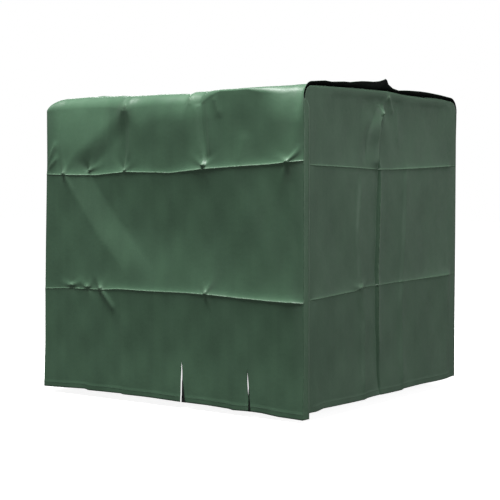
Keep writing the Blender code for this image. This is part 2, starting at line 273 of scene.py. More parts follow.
@dataclass(frozen=True)
class Slope(Crease):
    """A crease that bounds a slope: the cloth falls back evenly from its line on the right, then eases out.

    The easing and the three lengths of the painted sheen are counted in right reaches.
    """

    easing: float = 4.6
    foot: float = 0.400
    foot_fade: float = 0.24
    # The next three lengths shape a sheen painted into the colour over the slope.
    sheen_in: float = 0.03
    sheen_held: float = 0.3
    sheen_out: float = 1.2

    def relief(self, across: Array, up: Array) -> Array:
        """Height out of the wall: the rise, reached evenly over the right reach, then lost over a longer way.

        The distance past the line starts softly, as r log(1 + exp(d / r)) with the rounding r.

        Args:
            across: places along the wall.
            up: heights.

        Returns:
            The relief at each point.
        """
        aside, share = self.nearest(across, up)
        away = self.round * np.logaddexp(0.0, aside / self.round) / self.right
        fall = np.minimum(away, 1.0) * (1.0 - smooth((away - 1.0) / self.easing))
        ends = smooth((up - self.foot) / self.foot_fade) * smooth((1.0 - share) / self.fade + 0.5)
        return self.rise * fall * ends

    def wear_and_highlight(self, across: Array, up: Array) -> Array:
        """A sheen painted into the colour all over the slope, a little stronger near its line."""
        aside, share = self.nearest(across, up)
        away = aside / self.right
        ends = smooth((up - self.foot) / self.foot_fade) * smooth((1.0 - share) / self.fade + 0.5)
        kept = smooth(away / self.sheen_in) * (1.0 - smooth((away - self.sheen_held) / self.sheen_out))
        return self.rub_and_highlight * kept * ends


@dataclass(frozen=True)
class Ray:
    """One short crease out of a pinch: its direction in degrees from the wall's right, length and rise."""

    turn: float
    length: float
    rise: float


@dataclass(frozen=True)
class Pinch:
    """A place where folds meet and the cloth gathers into short rays."""

    place: tuple[float, float]
    rays: tuple[Ray, ...]
    width: float = 0.0055
    root: float = 0.006
    root_share: float = 0.7
    crumpled: float = 0.014

    def relief(self, across: Array, up: Array) -> Array:
        """Height out of the wall: each ray is a ridge that narrows and fades away from the place.

        Args:
            across: places along the wall.
            up: heights.

        Returns:
            The relief at each point.
        """
        total = np.zeros(np.shape(across))
        dx, dz = across - self.place[0], up - self.place[1]
        for ray in self.rays:
            c, s = math.cos(math.radians(ray.turn)), math.sin(math.radians(ray.turn))
            along, aside = dx * c + dz * s, dx * s - dz * c
            spread = self.width * (1.0 + np.clip(along, 0.0, None) / ray.length)
            fade = smooth(along / self.root + self.root_share)
            fade *= np.exp(-np.clip(along, 0.0, None) / ray.length)
            total += ray.rise * np.exp(-((aside / spread) ** 2)) * fade
        return total

    def wear_and_highlight(self, across: Array, up: Array) -> Array:
        """Crumpling round the pinch, which also paints a highlight into the colour: 1 in its middle, gone at
        a few centimetres.
        """
        return np.exp(-np.hypot(across - self.place[0], up - self.place[1]) / self.crumpled)


@dataclass(frozen=True)
class Slack:
    """The slow lean and belly of a wall: relief in millimetres on a coarse net of places and heights."""

    places: tuple[float, ...]
    heights: tuple[float, ...]
    rows: tuple[tuple[float, ...], ...]

    def relief(self, across: Array, up: Array) -> Array:
        """Read the net: a smooth curve along the wall at each height, then one through the heights.

        Args:
            across: places along the wall.
            up: heights.

        Returns:
            The relief at each point, in metres.
        """
        levels = np.stack([curve(across, self.places, row) for row in self.rows])
        return curve(up, self.heights, levels) / MILLIMETRES


@dataclass(frozen=True)
class Ripple:
    """Faint waves of slack cloth: sines across a wall, each with its length, slant, height and start."""

    waves: tuple[tuple[float, float, float, float], ...] = (
        (0.310, 0.45, 0.0009, 0.4),
        (0.190, -0.85, 0.0006, 2.1),
        (0.103, 0.60, 0.00022, 4.0),
        (0.067, -0.30, 0.00010, 1.3),
    )

    def relief(self, across: Array, up: Array) -> Array:
        """Sum the waves, each a sine of the place plus its slant times the height."""
        total = np.zeros(np.shape(across))
        for length, slant, height, start in self.waves:
            total += height * np.sin(2 * math.pi * (across + slant * up) / length + start)
        return total


@dataclass(frozen=True)
class Slit:
    """A cut up from the front hem beside the tap."""

    top_x: float
    hem_x: float
    top_z: float
    hem_width: float
    middle_width: float
    hem_z: float = 0.012
    swing_power: float = 1.5
    flare_power: float = 2.4
    past_hem: float = 1.1

    def shift(self, z: Array, side: int) -> Array:
        """How far a side of the cut lies from the cut's top, at heights.

        The middle line runs down to the hem with the swing power of the depth. The width is a half sine plus
        a flare with its own power. The depth goes a little past the hem, where the cloth hangs lower.

        Args:
            z: heights.
            side: -1 for the left side, 1 for the right.

        Returns:
            The shift along X.
        """
        down = np.clip((self.top_z - z) / (self.top_z - self.hem_z), 0.0, self.past_hem)
        width = self.middle_width * np.sin(math.pi * np.clip(down, 0.0, 1.0))
        width += self.hem_width * down**self.flare_power
        return (self.hem_x - self.top_x) * down**self.swing_power + side * width / 2


@dataclass(frozen=True)
class Wall:
    """One upright side of the cover: its hem, top, folds, creases, pinches and slack."""

    hem: Path
    top: Path
    low: Fold
    high: Fold
    slack: Slack
    creases: tuple[Crease, ...] = ()
    pinches: tuple[Pinch, ...] = ()
    ripple: Ripple = Ripple()
    flare: float = 0.006
    flare_height: float = 0.20
    hem_turn: float = 0.022
    hem_step: float = 0.0011
    hem_ease: float = 0.003

    def relief(self, across: Array, up: Array, inside: Array | float) -> Array:
        """How far the wall stands out of its plane.

        Args:
            across: places along the wall.
            up: heights.
            inside: 1 inside the wall and 0 at its corners, where slack and creases stop.

        Returns:
            The relief at each point.
        """
        free = self.slack.relief(across, up) + self.ripple.relief(across, up)
        for part in (*self.creases, *self.pinches):
            free = free + part.relief(across, up)
        held = self.low.relief(across, up) + self.high.relief(across, up)
        turned = self.hem_step * smooth((self.hem.at(across) + self.hem_turn - up) / self.hem_ease)
        return held + free * inside + turned + self.flare * smooth(1.0 - up / self.flare_height)

    def wear_and_highlight(self, across: Array, up: Array) -> Array:
        """Rubbed, crumpled and painted-highlight places: the most of the folds', creases' and pinches' marks.
        """
        marks = [part.wear_and_highlight(across, up) for part in (self.low, self.high, *self.creases, *self.pinches)]
        return np.max(np.stack(marks), axis=0)


FRONT = Wall(
    hem=Path(((-0.60, 0.008), (-0.54, 0.010), (-0.385, 0.017), (-0.370, 0.013), (-0.21, 0.016),
              (-0.195, 0.0135), (-0.05, 0.014), (0.069, 0.012), (0.19, 0.012), (0.29, 0.009), (0.308, 0.006),
              (0.378, 0.009), (0.43, 0.008), (0.50, 0.002), (0.57, 0.001), (0.60, 0.000))),
    top=Path(((-0.60, 1.127), (-0.45, 1.135), (-0.35, 1.133), (-0.27, 1.132), (-0.20, 1.127), (-0.07, 1.129),
              (0.08, 1.126), (0.10, 1.132), (0.19, 1.132), (0.33, 1.134), (0.46, 1.138), (0.54, 1.141),
              (0.60, 1.137))),
    low=Fold(
        line=Path(((-0.60, 0.391), (-0.50, 0.397), (-0.45, 0.399), (-0.32, 0.399), (-0.22, 0.406),
                   (-0.076, 0.405), (0.11, 0.406), (0.194, 0.405), (0.335, 0.399), (0.46, 0.395),
                   (0.60, 0.393))),
        ridge=Path(((-0.60, 0.0020), (-0.45, 0.0040), (-0.34, 0.0055), (-0.30, 0.0080), (-0.07, 0.0090),
                    (0.10, 0.0080), (0.19, 0.0125), (0.33, 0.0105), (0.46, 0.0125), (0.56, 0.0145),
                    (0.60, 0.0060))),
        above=0.022,
    ),
    high=Fold(
        line=Path(((-0.60, 0.836), (-0.488, 0.833), (-0.347, 0.831), (-0.201, 0.841), (-0.074, 0.838),
                   (0.021, 0.835), (0.181, 0.847), (0.335, 0.854), (0.462, 0.859), (0.536, 0.864),
                   (0.60, 0.869))),
        ridge=Path(((-0.60, 0.0030), (-0.48, 0.0090), (-0.35, 0.0100), (-0.20, 0.0110), (-0.05, 0.0070),
                    (0.05, 0.0085), (0.17, 0.0160), (0.25, 0.0105), (0.46, 0.0110), (0.54, 0.0150),
                    (0.60, 0.0060))),
        above=0.026,
    ),
    slack=Slack(
        places=(-0.60, -0.52, -0.40, -0.27, -0.20, -0.13, 0.00, 0.12, 0.22, 0.40, 0.50, 0.56, 0.60),
        heights=(0.00, 0.20, 0.39, 0.55, 0.70, 0.84, 0.93, 1.00, 1.05, 1.10),
        rows=(
            (0, 0, 0, 0, 0, 0, 0, 0, 0, 0, 0, 0, 0),
            (0, 1, 2, 1, 0, 0, -1, 0, 1, 2, 1, 0, 0),
            (0, 0, 0, 0, 0, 0, 0, 0, 0, 0, 0, 0, 0),
            (0, -1, -1, 0, 0, 0, -1, 0, -1, 0, -1, 0, 0),
            (0, -1, -1, 0, 0, 0, -1, 0, -1, 0, -1, 0, 0),
            (0, 0, 0, 0, 0, 0, 0, 0, 0, 0, 0, 0, 0),
            (0, -2, -4, -3, -1, -1, 2, 2, 1, 2, 2, 0, 0),
            (0, -4, -7, -6, 0, -1, 4, 3, 1, 4, 2, -2, 0),
            (0, -3, -6, -5, 2, -2, 4, 2, 2, 5, 1, -3, 0),
            (0, -1, -2, -1, 2, -2, 1, 0, 3, 5, 0, 0, 0),
        ),
    ),
    creases=(
        # The wedge: its last number paints a sheen into the colour over the slope.
        Slope(((-0.060, 0.330), (-0.130, 0.410), (-0.205, 0.482), (-0.262, 0.540), (-0.323, 0.597),
               (-0.384, 0.672), (-0.447, 0.752), (-0.500, 0.826)), -0.0165, 0.001, 0.105, 0.14, 0.0012, 0.14),
        Crease(((-0.208, 0.860), (-0.206, 1.110)), -0.0030, 0.008, 0.010, 0.30, 0.0025, 0.0),
        Crease(((-0.204, 0.040), (-0.208, 0.380)), 0.0024, 0.012, 0.020, 0.20, 0.0030, 0.10),
        Crease(((-0.174, 0.860), (-0.180, 1.100)), 0.0040, 0.010, 0.030, 0.30, 0.0025, 0.10),
        Crease(((0.192, 0.868), (0.181, 0.905), (0.168, 0.985), (0.159, 1.072), (0.123, 1.130)),
               -0.0100, 0.0120, 0.024, 0.16, 0.0030, 0.0),
        Crease(((0.205, 0.880), (0.200, 0.985), (0.196, 1.060)), 0.0045, 0.0080, 0.016, 0.40, 0.0025, 0.10),
        Crease(((-0.60, 0.875), (-0.555, 0.955)), 0.0050, 0.005, 0.008, 0.30),
        Crease(((-0.60, 0.850), (-0.545, 0.900)), 0.0040, 0.005, 0.006, 0.30),
        Crease(((-0.30, 0.392), (-0.245, 0.330)), 0.0035, 0.006, 0.008, 0.30, 0.0030),
        Crease(((0.225, 1.095), (0.250, 1.035)), 0.0030, 0.006, 0.010, 0.30, 0.0030),
        Crease(((0.330, 0.870), (0.360, 0.960)), 0.0020, 0.020, 0.030, 0.40, 0.0030, 0.0),
        Crease(((-0.02, 0.850), (-0.03, 0.990)), 0.0018, 0.020, 0.030, 0.40, 0.0030, 0.0),
    ),
    pinches=(
        Pinch((-0.505, 0.838), (Ray(100, 0.047, 0.0084), Ray(60, 0.041, 0.0056), Ray(-60, 0.041, 0.0056))),
        Pinch((-0.385, 0.850), (Ray(65, 0.041, 0.0070), Ray(20, 0.038, 0.0070), Ray(150, 0.027, -0.0056),
                                Ray(-80, 0.027, 0.0042))),
        Pinch((-0.205, 0.846), (Ray(75, 0.054, 0.0056), Ray(35, 0.030, 0.0056), Ray(130, 0.038, -0.0042))),
        Pinch((0.180, 0.858), (Ray(95, 0.035, 0.0112), Ray(150, 0.032, 0.0070), Ray(30, 0.032, 0.0070))),
        Pinch((0.540, 0.868), (Ray(40, 0.054, 0.0098), Ray(-110, 0.047, 0.0070), Ray(160, 0.030, 0.0056))),
        Pinch((-0.455, 0.410), (Ray(20, 0.027, 0.0070), Ray(170, 0.030, 0.0070), Ray(-60, 0.022, -0.0042))),
        Pinch((-0.375, 0.405), (Ray(60, 0.024, 0.0056), Ray(150, 0.030, 0.0056), Ray(-30, 0.024, -0.0042))),
        Pinch((-0.310, 0.404), (Ray(120, 0.030, 0.0084), Ray(60, 0.024, 0.0056), Ray(-50, 0.054, 0.0056))),
        Pinch((0.190, 0.410), (Ray(60, 0.030, 0.0084), Ray(120, 0.022, 0.0056), Ray(-75, 0.030, 0.0056))),
        Pinch((-0.20, 1.085), (Ray(110, 0.030, 0.0056), Ray(-120, 0.024, 0.0056), Ray(-60, 0.024, 0.0042))),
        Pinch((0.105, 1.100), (Ray(-100, 0.032, 0.0070), Ray(-60, 0.027, 0.0056), Ray(70, 0.024, 0.0056))),
    ),
)

NEAR_WALL = Wall(
    hem=Path(((-0.55, 0.018), (-0.48, 0.020), (-0.436, 0.025), (-0.386, 0.024), (-0.288, 0.022),
              (-0.165, 0.020), (-0.144, 0.023), (-0.045, 0.023), (0.104, 0.021), (0.119, 0.025),
              (0.261, 0.025), (0.426, 0.022), (0.55, 0.023))),
    top=Path(((-0.55, 1.121), (-0.466, 1.125), (-0.397, 1.127), (-0.241, 1.132), (-0.10, 1.135),
              (0.003, 1.137), (0.059, 1.135), (0.138, 1.132), (0.271, 1.131), (0.369, 1.135), (0.436, 1.134),
              (0.55, 1.126))),
    low=Fold(
        line=Path(((-0.55, 0.395), (-0.50, 0.402), (-0.387, 0.408), (-0.223, 0.415), (-0.189, 0.426),
                   (-0.063, 0.427), (0.10, 0.431), (0.216, 0.433), (0.378, 0.436), (0.55, 0.441))),
        ridge=Path(((-0.55, 0.001), (-0.49, 0.005), (-0.30, 0.006), (-0.20, 0.003), (0.00, 0.003),
                    (0.20, 0.004), (0.35, 0.009), (0.50, 0.010), (0.55, 0.003))),
        above=0.024,
    ),
    high=Fold(
        line=Path(((-0.55, 0.856), (-0.39, 0.854), (-0.192, 0.851), (-0.059, 0.848), (0.058, 0.851),
                   (0.251, 0.859), (0.501, 0.871), (0.55, 0.873))),
        ridge=Path(((-0.55, 0.001), (-0.49, 0.003), (-0.20, 0.003), (0.00, 0.003), (0.15, 0.006),
                    (0.50, 0.007), (0.55, 0.003))),
        above=0.018,
        lip=0.6,
    ),
    slack=Slack(
        places=(-0.55, -0.40, -0.22, -0.07, 0.05, 0.15, 0.30, 0.45, 0.55),
        heights=(0.00, 0.20, 0.42, 0.62, 0.86, 0.93, 1.00, 1.09, 1.14),
        rows=(
            (0, 0, 0, 0, 0, 0, 0, 0, 0),
            (0, 1, 0, 2, 0, 1, 2, 1, 0),
            (0, 0, 0, 0, 0, 0, 0, 0, 0),
            (0, -2, 0, 3, -1, 2, -2, -3, 0),
            (0, 0, 0, 2, 0, 0, 0, 0, 0),
            (0, -2, -4, -2, -3, -4, -4, -2, 0),
            (0, -3, -5, 2, -4, -6, -6, -4, 0),
            (0, -2, -3, -8, -5, -4, -5, -4, 0),
            (0, 0, 0, 0, 0, 0, 0, 0, 0),
        ),
    ),
    creases=(
        # The last numbers 0.7 and 0.6 below paint highlight lines into the colour along two ridges.
        Crease(((-0.052, 0.022), (-0.064, 0.115), (-0.072, 0.245), (-0.077, 0.373), (-0.077, 0.446),
                (-0.072, 0.628), (-0.066, 0.810), (-0.060, 0.955), (-0.046, 1.040)),
               -0.0085, 0.0360, 0.0022, 0.10, 0.0008, 0.0),
        Crease(((-0.064, 0.160), (-0.068, 0.440), (-0.063, 0.628), (-0.056, 0.845)),
               0.0060, 0.0022, 0.0140, 0.24, 0.0010, 0.7),
        Crease(((-0.166, 0.055), (-0.167, 0.307), (-0.189, 0.381), (-0.211, 0.631), (-0.192, 0.809)),
               0.0060, 0.008, 0.034, 0.12, 0.0030, 0.20),
        Crease(((0.112, 0.039), (0.109, 0.248), (0.101, 0.361), (0.121, 0.587), (0.134, 0.845)),
               0.0060, 0.010, 0.034, 0.12, 0.0030, 0.20),
        Crease(((-0.075, 0.860), (-0.062, 1.010), (-0.030, 1.070)), 0.0130, 0.034, 0.0050, 0.20, 0.0025, 0.6),
        Crease(((-0.150, 0.880), (-0.130, 0.990), (-0.075, 1.060)), -0.0060, 0.020, 0.020, 0.30, 0.0040, 0.0),
        Crease(((0.012, 1.120), (0.045, 1.060)), 0.0050, 0.006, 0.008, 0.30),
        Crease(((0.085, 0.950), (0.078, 1.075)), 0.0025, 0.010, 0.010, 0.30),
        Crease(((0.495, 1.118), (0.525, 1.060)), 0.0040, 0.005, 0.010, 0.30),
    ),
    pinches=(
        Pinch((-0.195, 0.424), (Ray(30, 0.027, 0.0056), Ray(170, 0.030, 0.0056), Ray(-70, 0.024, -0.0042))),
        Pinch((-0.045, 1.050), (Ray(60, 0.030, 0.0070), Ray(120, 0.027, 0.0056), Ray(-100, 0.030, 0.0056))),
        Pinch((0.010, 1.115), (Ray(-60, 0.030, 0.0056), Ray(-130, 0.024, 0.0056))),
    ),
)

FAR_WALL = Wall(
    hem=Path(((-0.55, 0.010), (-0.20, 0.016), (-0.18, 0.012), (0.10, 0.013), (0.30, 0.018), (0.55, 0.018))),
    top=Path(((-0.55, 1.128), (-0.20, 1.131), (0.10, 1.129), (0.55, 1.126))),
    low=Fold(
        line=Path(((-0.55, 0.392), (-0.20, 0.398), (0.10, 0.405), (0.55, 0.410))),
        ridge=Path(((-0.55, 0.002), (-0.40, 0.006), (-0.10, 0.008), (0.10, 0.005), (0.40, 0.009),
                    (0.55, 0.002))),
        above=0.024,
    ),
    high=Fold(
        line=Path(((-0.55, 0.830), (-0.20, 0.822), (0.10, 0.828), (0.55, 0.824))),
        ridge=Path(((-0.55, 0.002), (-0.30, 0.007), (0.00, 0.005), (0.30, 0.008), (0.55, 0.002))),
        above=0.022,
    ),
    slack=Slack(
        places=(-0.55, -0.30, -0.05, 0.20, 0.40, 0.55),
        heights=(0.00, 0.20, 0.40, 0.62, 0.83, 0.96, 1.10),
        rows=(
            (0, 0, 0, 0, 0, 0),
            (0, 1, 2, -1, 1, 0),
            (0, 0, 0, 0, 0, 0),
            (0, -2, -4, -2, -3, 0),
            (0, 0, 0, 0, 0, 0),
            (0, -4, -2, -5, -3, 0),
            (0, 0, 0, 0, 0, 0),
        ),
    ),
    creases=(
        Crease(((0.02, 0.020), (-0.01, 0.400), (0.01, 0.830), (-0.02, 1.050)), -0.0045, 0.010, 0.012, 0.12),
        Crease(((-0.24, 0.410), (-0.22, 0.820)), 0.0030, 0.012, 0.024, 0.16),
        Crease(((0.27, 0.020), (0.25, 0.400)), 0.0028, 0.024, 0.012, 0.16),
    ),
    pinches=(
        Pinch((0.00, 0.403), (Ray(35, 0.030, 0.0056), Ray(150, 0.030, 0.0056))),
        Pinch((0.01, 0.827), (Ray(60, 0.032, 0.0056), Ray(120, 0.030, 0.0056), Ray(-80, 0.030, 0.0042))),
    ),
)

BACK = Wall(
    hem=Path(((-0.60, 0.018), (-0.25, 0.014), (-0.23, 0.018), (0.10, 0.019), (0.45, 0.016), (0.60, 0.023))),
    top=Path(((-0.60, 1.126), (-0.25, 1.130), (0.10, 1.129), (0.45, 1.131), (0.60, 1.126))),
    low=Fold(
        line=Path(((-0.60, 0.410), (-0.25, 0.404), (0.10, 0.412), (0.45, 0.420), (0.60, 0.441))),
        ridge=Path(((-0.60, 0.002), (-0.40, 0.007), (-0.10, 0.009), (0.20, 0.008), (0.45, 0.009),
                    (0.60, 0.002))),
        above=0.024,
    ),
    high=Fold(
        line=Path(((-0.60, 0.824), (-0.25, 0.829), (0.10, 0.823), (0.45, 0.818), (0.60, 0.873))),
        ridge=Path(((-0.60, 0.002), (-0.35, 0.008), (0.00, 0.009), (0.30, 0.008), (0.60, 0.002))),
        above=0.024,
    ),
    slack=Slack(
        places=(-0.60, -0.40, -0.20, 0.00, 0.20, 0.40, 0.60),
        heights=(0.00, 0.20, 0.40, 0.62, 0.83, 0.96, 1.09),
        rows=(
            (0, 0, 0, 0, 0, 0, 0),
            (0, 1, -1, 2, 1, -1, 0),
            (0, 0, 0, 0, 0, 0, 0),
            (0, -2, -1, -3, -2, -3, 0),
            (0, 0, 0, 0, 0, 0, 0),
            (0, -6, -3, -5, -2, -5, 0),
            (0, -14, -10, -13, -8, -12, 0),
        ),
    ),
    creases=(
        Crease(((-0.205, 0.020), (-0.21, 0.405), (-0.20, 0.828), (-0.21, 1.110)),
               -0.0045, 0.010, 0.014, 0.10),
        Crease(((0.19, 0.410), (0.18, 0.825), (0.19, 1.110)), 0.0040, 0.008, 0.030, 0.12),
        Crease(((0.42, 0.800), (0.20, 0.520)), -0.0060, 0.080, 0.006, 0.20),
    ),
    pinches=(
        Pinch((-0.205, 0.410), (Ray(40, 0.032, 0.0056), Ray(150, 0.030, 0.0056), Ray(-70, 0.030, 0.0042))),
        Pinch((-0.200, 0.832), (Ray(70, 0.041, 0.0056), Ray(130, 0.030, 0.0056))),
        Pinch((0.185, 0.828), (Ray(50, 0.035, 0.0070), Ray(120, 0.030, 0.0056), Ray(-100, 0.027, 0.0042))),
    ),
)


@dataclass
class CoverShape:
    """Sizes that the cloths share, and the wrap's top.

    The lip is the height of the wrap's raised edge along the near end. The roll is the radius of the front's
    top edge, and the lean is how far that edge lies back, from the height lean_from up. The droop is how far
    the top comes down at the far end, and the splay is how far the far end stands out at its hem.
    """

    length: float = 1.20
    width: float = 1.10
    shoulder: float = 0.050
    corner_fade: float = 0.030
    lip: Path = Path(((-0.55, 1.131), (-0.478, 1.139), (-0.40, 1.146), (-0.382, 1.143), (-0.295, 1.150),
                      (-0.282, 1.148), (-0.215, 1.156), (-0.167, 1.161), (-0.104, 1.163), (-0.060, 1.168),
                      (-0.026, 1.176), (-0.008, 1.183), (0.003, 1.163), (0.036, 1.150), (0.062, 1.143),
                      (0.15, 1.149), (0.247, 1.152), (0.308, 1.152), (0.408, 1.149), (0.511, 1.143),
                      (0.55, 1.140)))
    roll: Path = Path(((-0.60, 0.050), (-0.50, 0.064), (-0.42, 0.070), (-0.25, 0.060), (0.14, 0.060),
                       (0.20, 0.026), (0.25, 0.008), (0.37, 0.008), (0.44, 0.026), (0.50, 0.050),
                       (0.60, 0.050)))
    lean: Path = Path(((-0.60, 0.000), (-0.585, 0.008), (-0.54, 0.024), (-0.44, 0.034), (-0.32, 0.028),
                       (-0.25, 0.014), (-0.215, 0.002), (-0.185, 0.002), (-0.15, 0.010), (0.00, 0.006),
                       (0.12, 0.008), (0.18, 0.003), (0.25, 0.000), (0.43, 0.001), (0.50, 0.014),
                       (0.55, 0.032), (0.575, 0.032), (0.592, 0.012), (0.60, 0.000)))
    lean_from: Path = Path(((-0.60, 0.900), (-0.24, 0.910), (-0.16, 1.010), (0.40, 1.020), (0.60, 0.985)))
    lip_depth: float = 0.032
    lip_fade: float = 0.110
    droop: float = 0.026
    droop_depth: float = 0.050
    splay: float = 0.019
    splay_top: float = 0.85
    tuck: float = 0.030
    blend_room: float = 0.010
    lip_power: float = 1.7
    top_creases: tuple[Crease, ...] = (
        Crease(((-0.20, -0.50), (-0.205, 0.50)), 0.0050, 0.018, 0.024, 0.06),
        Crease(((0.19, -0.50), (0.185, 0.50)), 0.0050, 0.022, 0.018, 0.06),
        Crease(((-0.56, 0.02), (0.00, 0.005), (0.57, -0.010)), 0.0070, 0.030, 0.024, 0.06),
    )
    top_pinches: tuple[Pinch, ...] = (
        Pinch((-0.203, 0.010), (Ray(20, 0.041, 0.0056), Ray(110, 0.041, 0.0042), Ray(-150, 0.041, 0.0042))),
        Pinch((0.187, 0.000), (Ray(-20, 0.041, 0.0042), Ray(75, 0.041, 0.0056), Ray(170, 0.041, 0.0042))),
    )

    @property
    def flat(self) -> float:
        """Half the top's width between the rounded long edges."""
        return self.width / 2 - self.shoulder

    def top_height(self, x: Array, y: Array) -> Array:
        """Height of the wrap's top: its four edges' heights blended over the middle, less their corners.

        Args:
            x: places along the front.
            y: places from front to back.

        Returns:
            The height at each point.
        """
        p = np.clip(0.5 + x / (self.length - 2 * self.tuck - 2 * self.blend_room), 0.0, 1.0)
        q = np.clip(0.5 + y / (2 * self.flat), 0.0, 1.0)
        end = self.length / 2
        near = NEAR_WALL.top.at(y) + CLOTH + GAP
        corners = (1 - q) * ((1 - p) * FRONT.top.at(-end) + p * FRONT.top.at(end))
        corners = corners + q * ((1 - p) * BACK.top.at(-end) + p * BACK.top.at(end))
        long_edges = (1 - q) * FRONT.top.at(x) + q * BACK.top.at(x)
        return long_edges + (1 - p) * FAR_WALL.top.at(y) + p * near - corners

    def lifted(self, x: Array, y: Array) -> Array:
        """How far the wrap's edge at the near end stands up off the end panel, steepest at the edge."""
        lip = self.lip.at(y) - NEAR_WALL.top.at(y) - CLOTH
        return lip * np.clip((x - self.length / 2) / self.lip_depth + 1.0, 0.0, 1.0) ** self.lip_power

    def drooped(self, x: Array) -> Array:
        """How far the wrap's edge at the far end comes down, as a quarter circle drawn out to its depth."""
        past = np.clip(1.0 - (x + self.length / 2) / self.droop_depth, 0.0, 1.0)
        return self.droop * (1.0 - np.sqrt(1.0 - past**2))

    def splayed(self, z: Array) -> Array:
        """How far the far end stands out at a height, most at the hem."""
        return self.splay * (1.0 - np.clip(z / self.splay_top, 0.0, 1.0) ** 2)


def sheet_faces(columns: int, rows: int, skipped: tuple[int, ...] = (), offset: int = 0) -> Array:
    """Four-sided faces between neighbouring columns and rows of a grid.

    Args:
        columns: how many columns.
        rows: how many rows.
        skipped: columns after which no face comes, because a slit is there.
        offset: the first point's number.

    Returns:
        One row of four point numbers for each face.
    """
    kept = [column for column in range(columns - 1) if column not in skipped]
    i, j = np.meshgrid(kept, np.arange(rows - 1), indexing="ij")
    first = (offset + i * rows + j).reshape(-1)
    return np.stack([first, first + rows, first + rows + 1, first + 1], axis=1)


def make_cloth(name: str, points: Array, faces: Array, flat: Array, marks: Array,
               dress: list) -> bpy.types.Object:
    """Make a thin cloth from its outer face, with its thickness inward.

    Args:
        name: the piece's name.
        points: the outer face's points.
        faces: its faces, as point numbers.
        flat: each point's place on the flat cloth, in metres, for the weave.
        marks: how rubbed, crumpled and painted with highlight each point is, from 0 to 1.
        dress: the materials of the outside and the inside.

    Returns:
        The finished piece, with its thickness applied.
    """
    mesh = bpy.data.meshes.new(name)
    mesh.from_pydata(points.tolist(), [], faces.tolist())
    layer = mesh.uv_layers.new(name="flat_cloth")
    loops = np.empty(len(mesh.loops), np.int32)
    mesh.loops.foreach_get("vertex_index", loops)
    layer.data.foreach_set("uv", flat[loops].reshape(-1).astype(np.float32))
    # This mark drives a lighter colour, partly rubbing and partly painted highlight, plus crumples and
    # roughness.
    wear_and_highlight = mesh.attributes.new("wear_and_highlight", "FLOAT", "POINT")
    wear_and_highlight.data.foreach_set("value", marks.astype(np.float32))
    shape = bmesh.new()
    shape.from_mesh(mesh)
    bmesh.ops.remove_doubles(shape, verts=shape.verts, dist=GAP / 10)
    shape.to_mesh(mesh)
    shape.free()
    mesh.shade_smooth()
    for material in dress:
        mesh.materials.append(material)
    piece = bpy.data.objects.new(name, mesh)
    bpy.context.scene.collection.objects.link(piece)
    wall = piece.modifiers.new("thickness", "SOLIDIFY")
    wall.thickness = CLOTH
    wall.offset = -1.0
    wall.material_offset = Face.INSIDE.value
    graph = bpy.context.evaluated_depsgraph_get()
    solid = bpy.data.meshes.new_from_object(
        piece.evaluated_get(graph), preserve_all_data_layers=True, depsgraph=graph)
    piece.modifiers.clear()
    piece.data = solid
    solid.name = name
    bpy.data.meshes.remove(mesh)
    return piece


def along_row(points: Array, run: Array, at: Array) -> Array:
    """Points that lie a distance along each column of a grid.

    Args:
        points: the grid's points.
        run: the distance along its column at each point.
        at: the distance wanted in each column.

    Returns:
        One point for each column.
    """
    low = np.clip((run < at).sum(axis=1) - 1, 0, run.shape[1] - 2)
    column = np.arange(len(points))
    share = (at[:, 0] - run[column, low]) / (run[column, low + 1] - run[column, low])
    return points[column, low] + (points[column, low + 1] - points[column, low]) * share[:, None]


def run_along(points: Array) -> Array:
    """Distance along each column of a grid from its first point: the running sum of its steps' lengths."""
    steps = np.linalg.norm(np.diff(points, axis=1), axis=2)
    return np.concatenate([np.zeros((len(points), 1)), np.cumsum(steps, axis=1)], axis=1)


def banded(lines: list[Array], counts: tuple[int, ...]) -> list[Array]:
    """Rows of heights in the bands between a wall's lines, crowded at each line.

    Args:
        lines: heights of the hem, the folds and the top, each one value for each column.
        counts: how many rows each band has.

    Returns:
        The rows from the first line up to but without the last.
    """
    rows = []
    for low, high, count in zip(lines, lines[1:], counts):
        rows += [low + (high - low) * share for share in crowded(count)]
    return rows


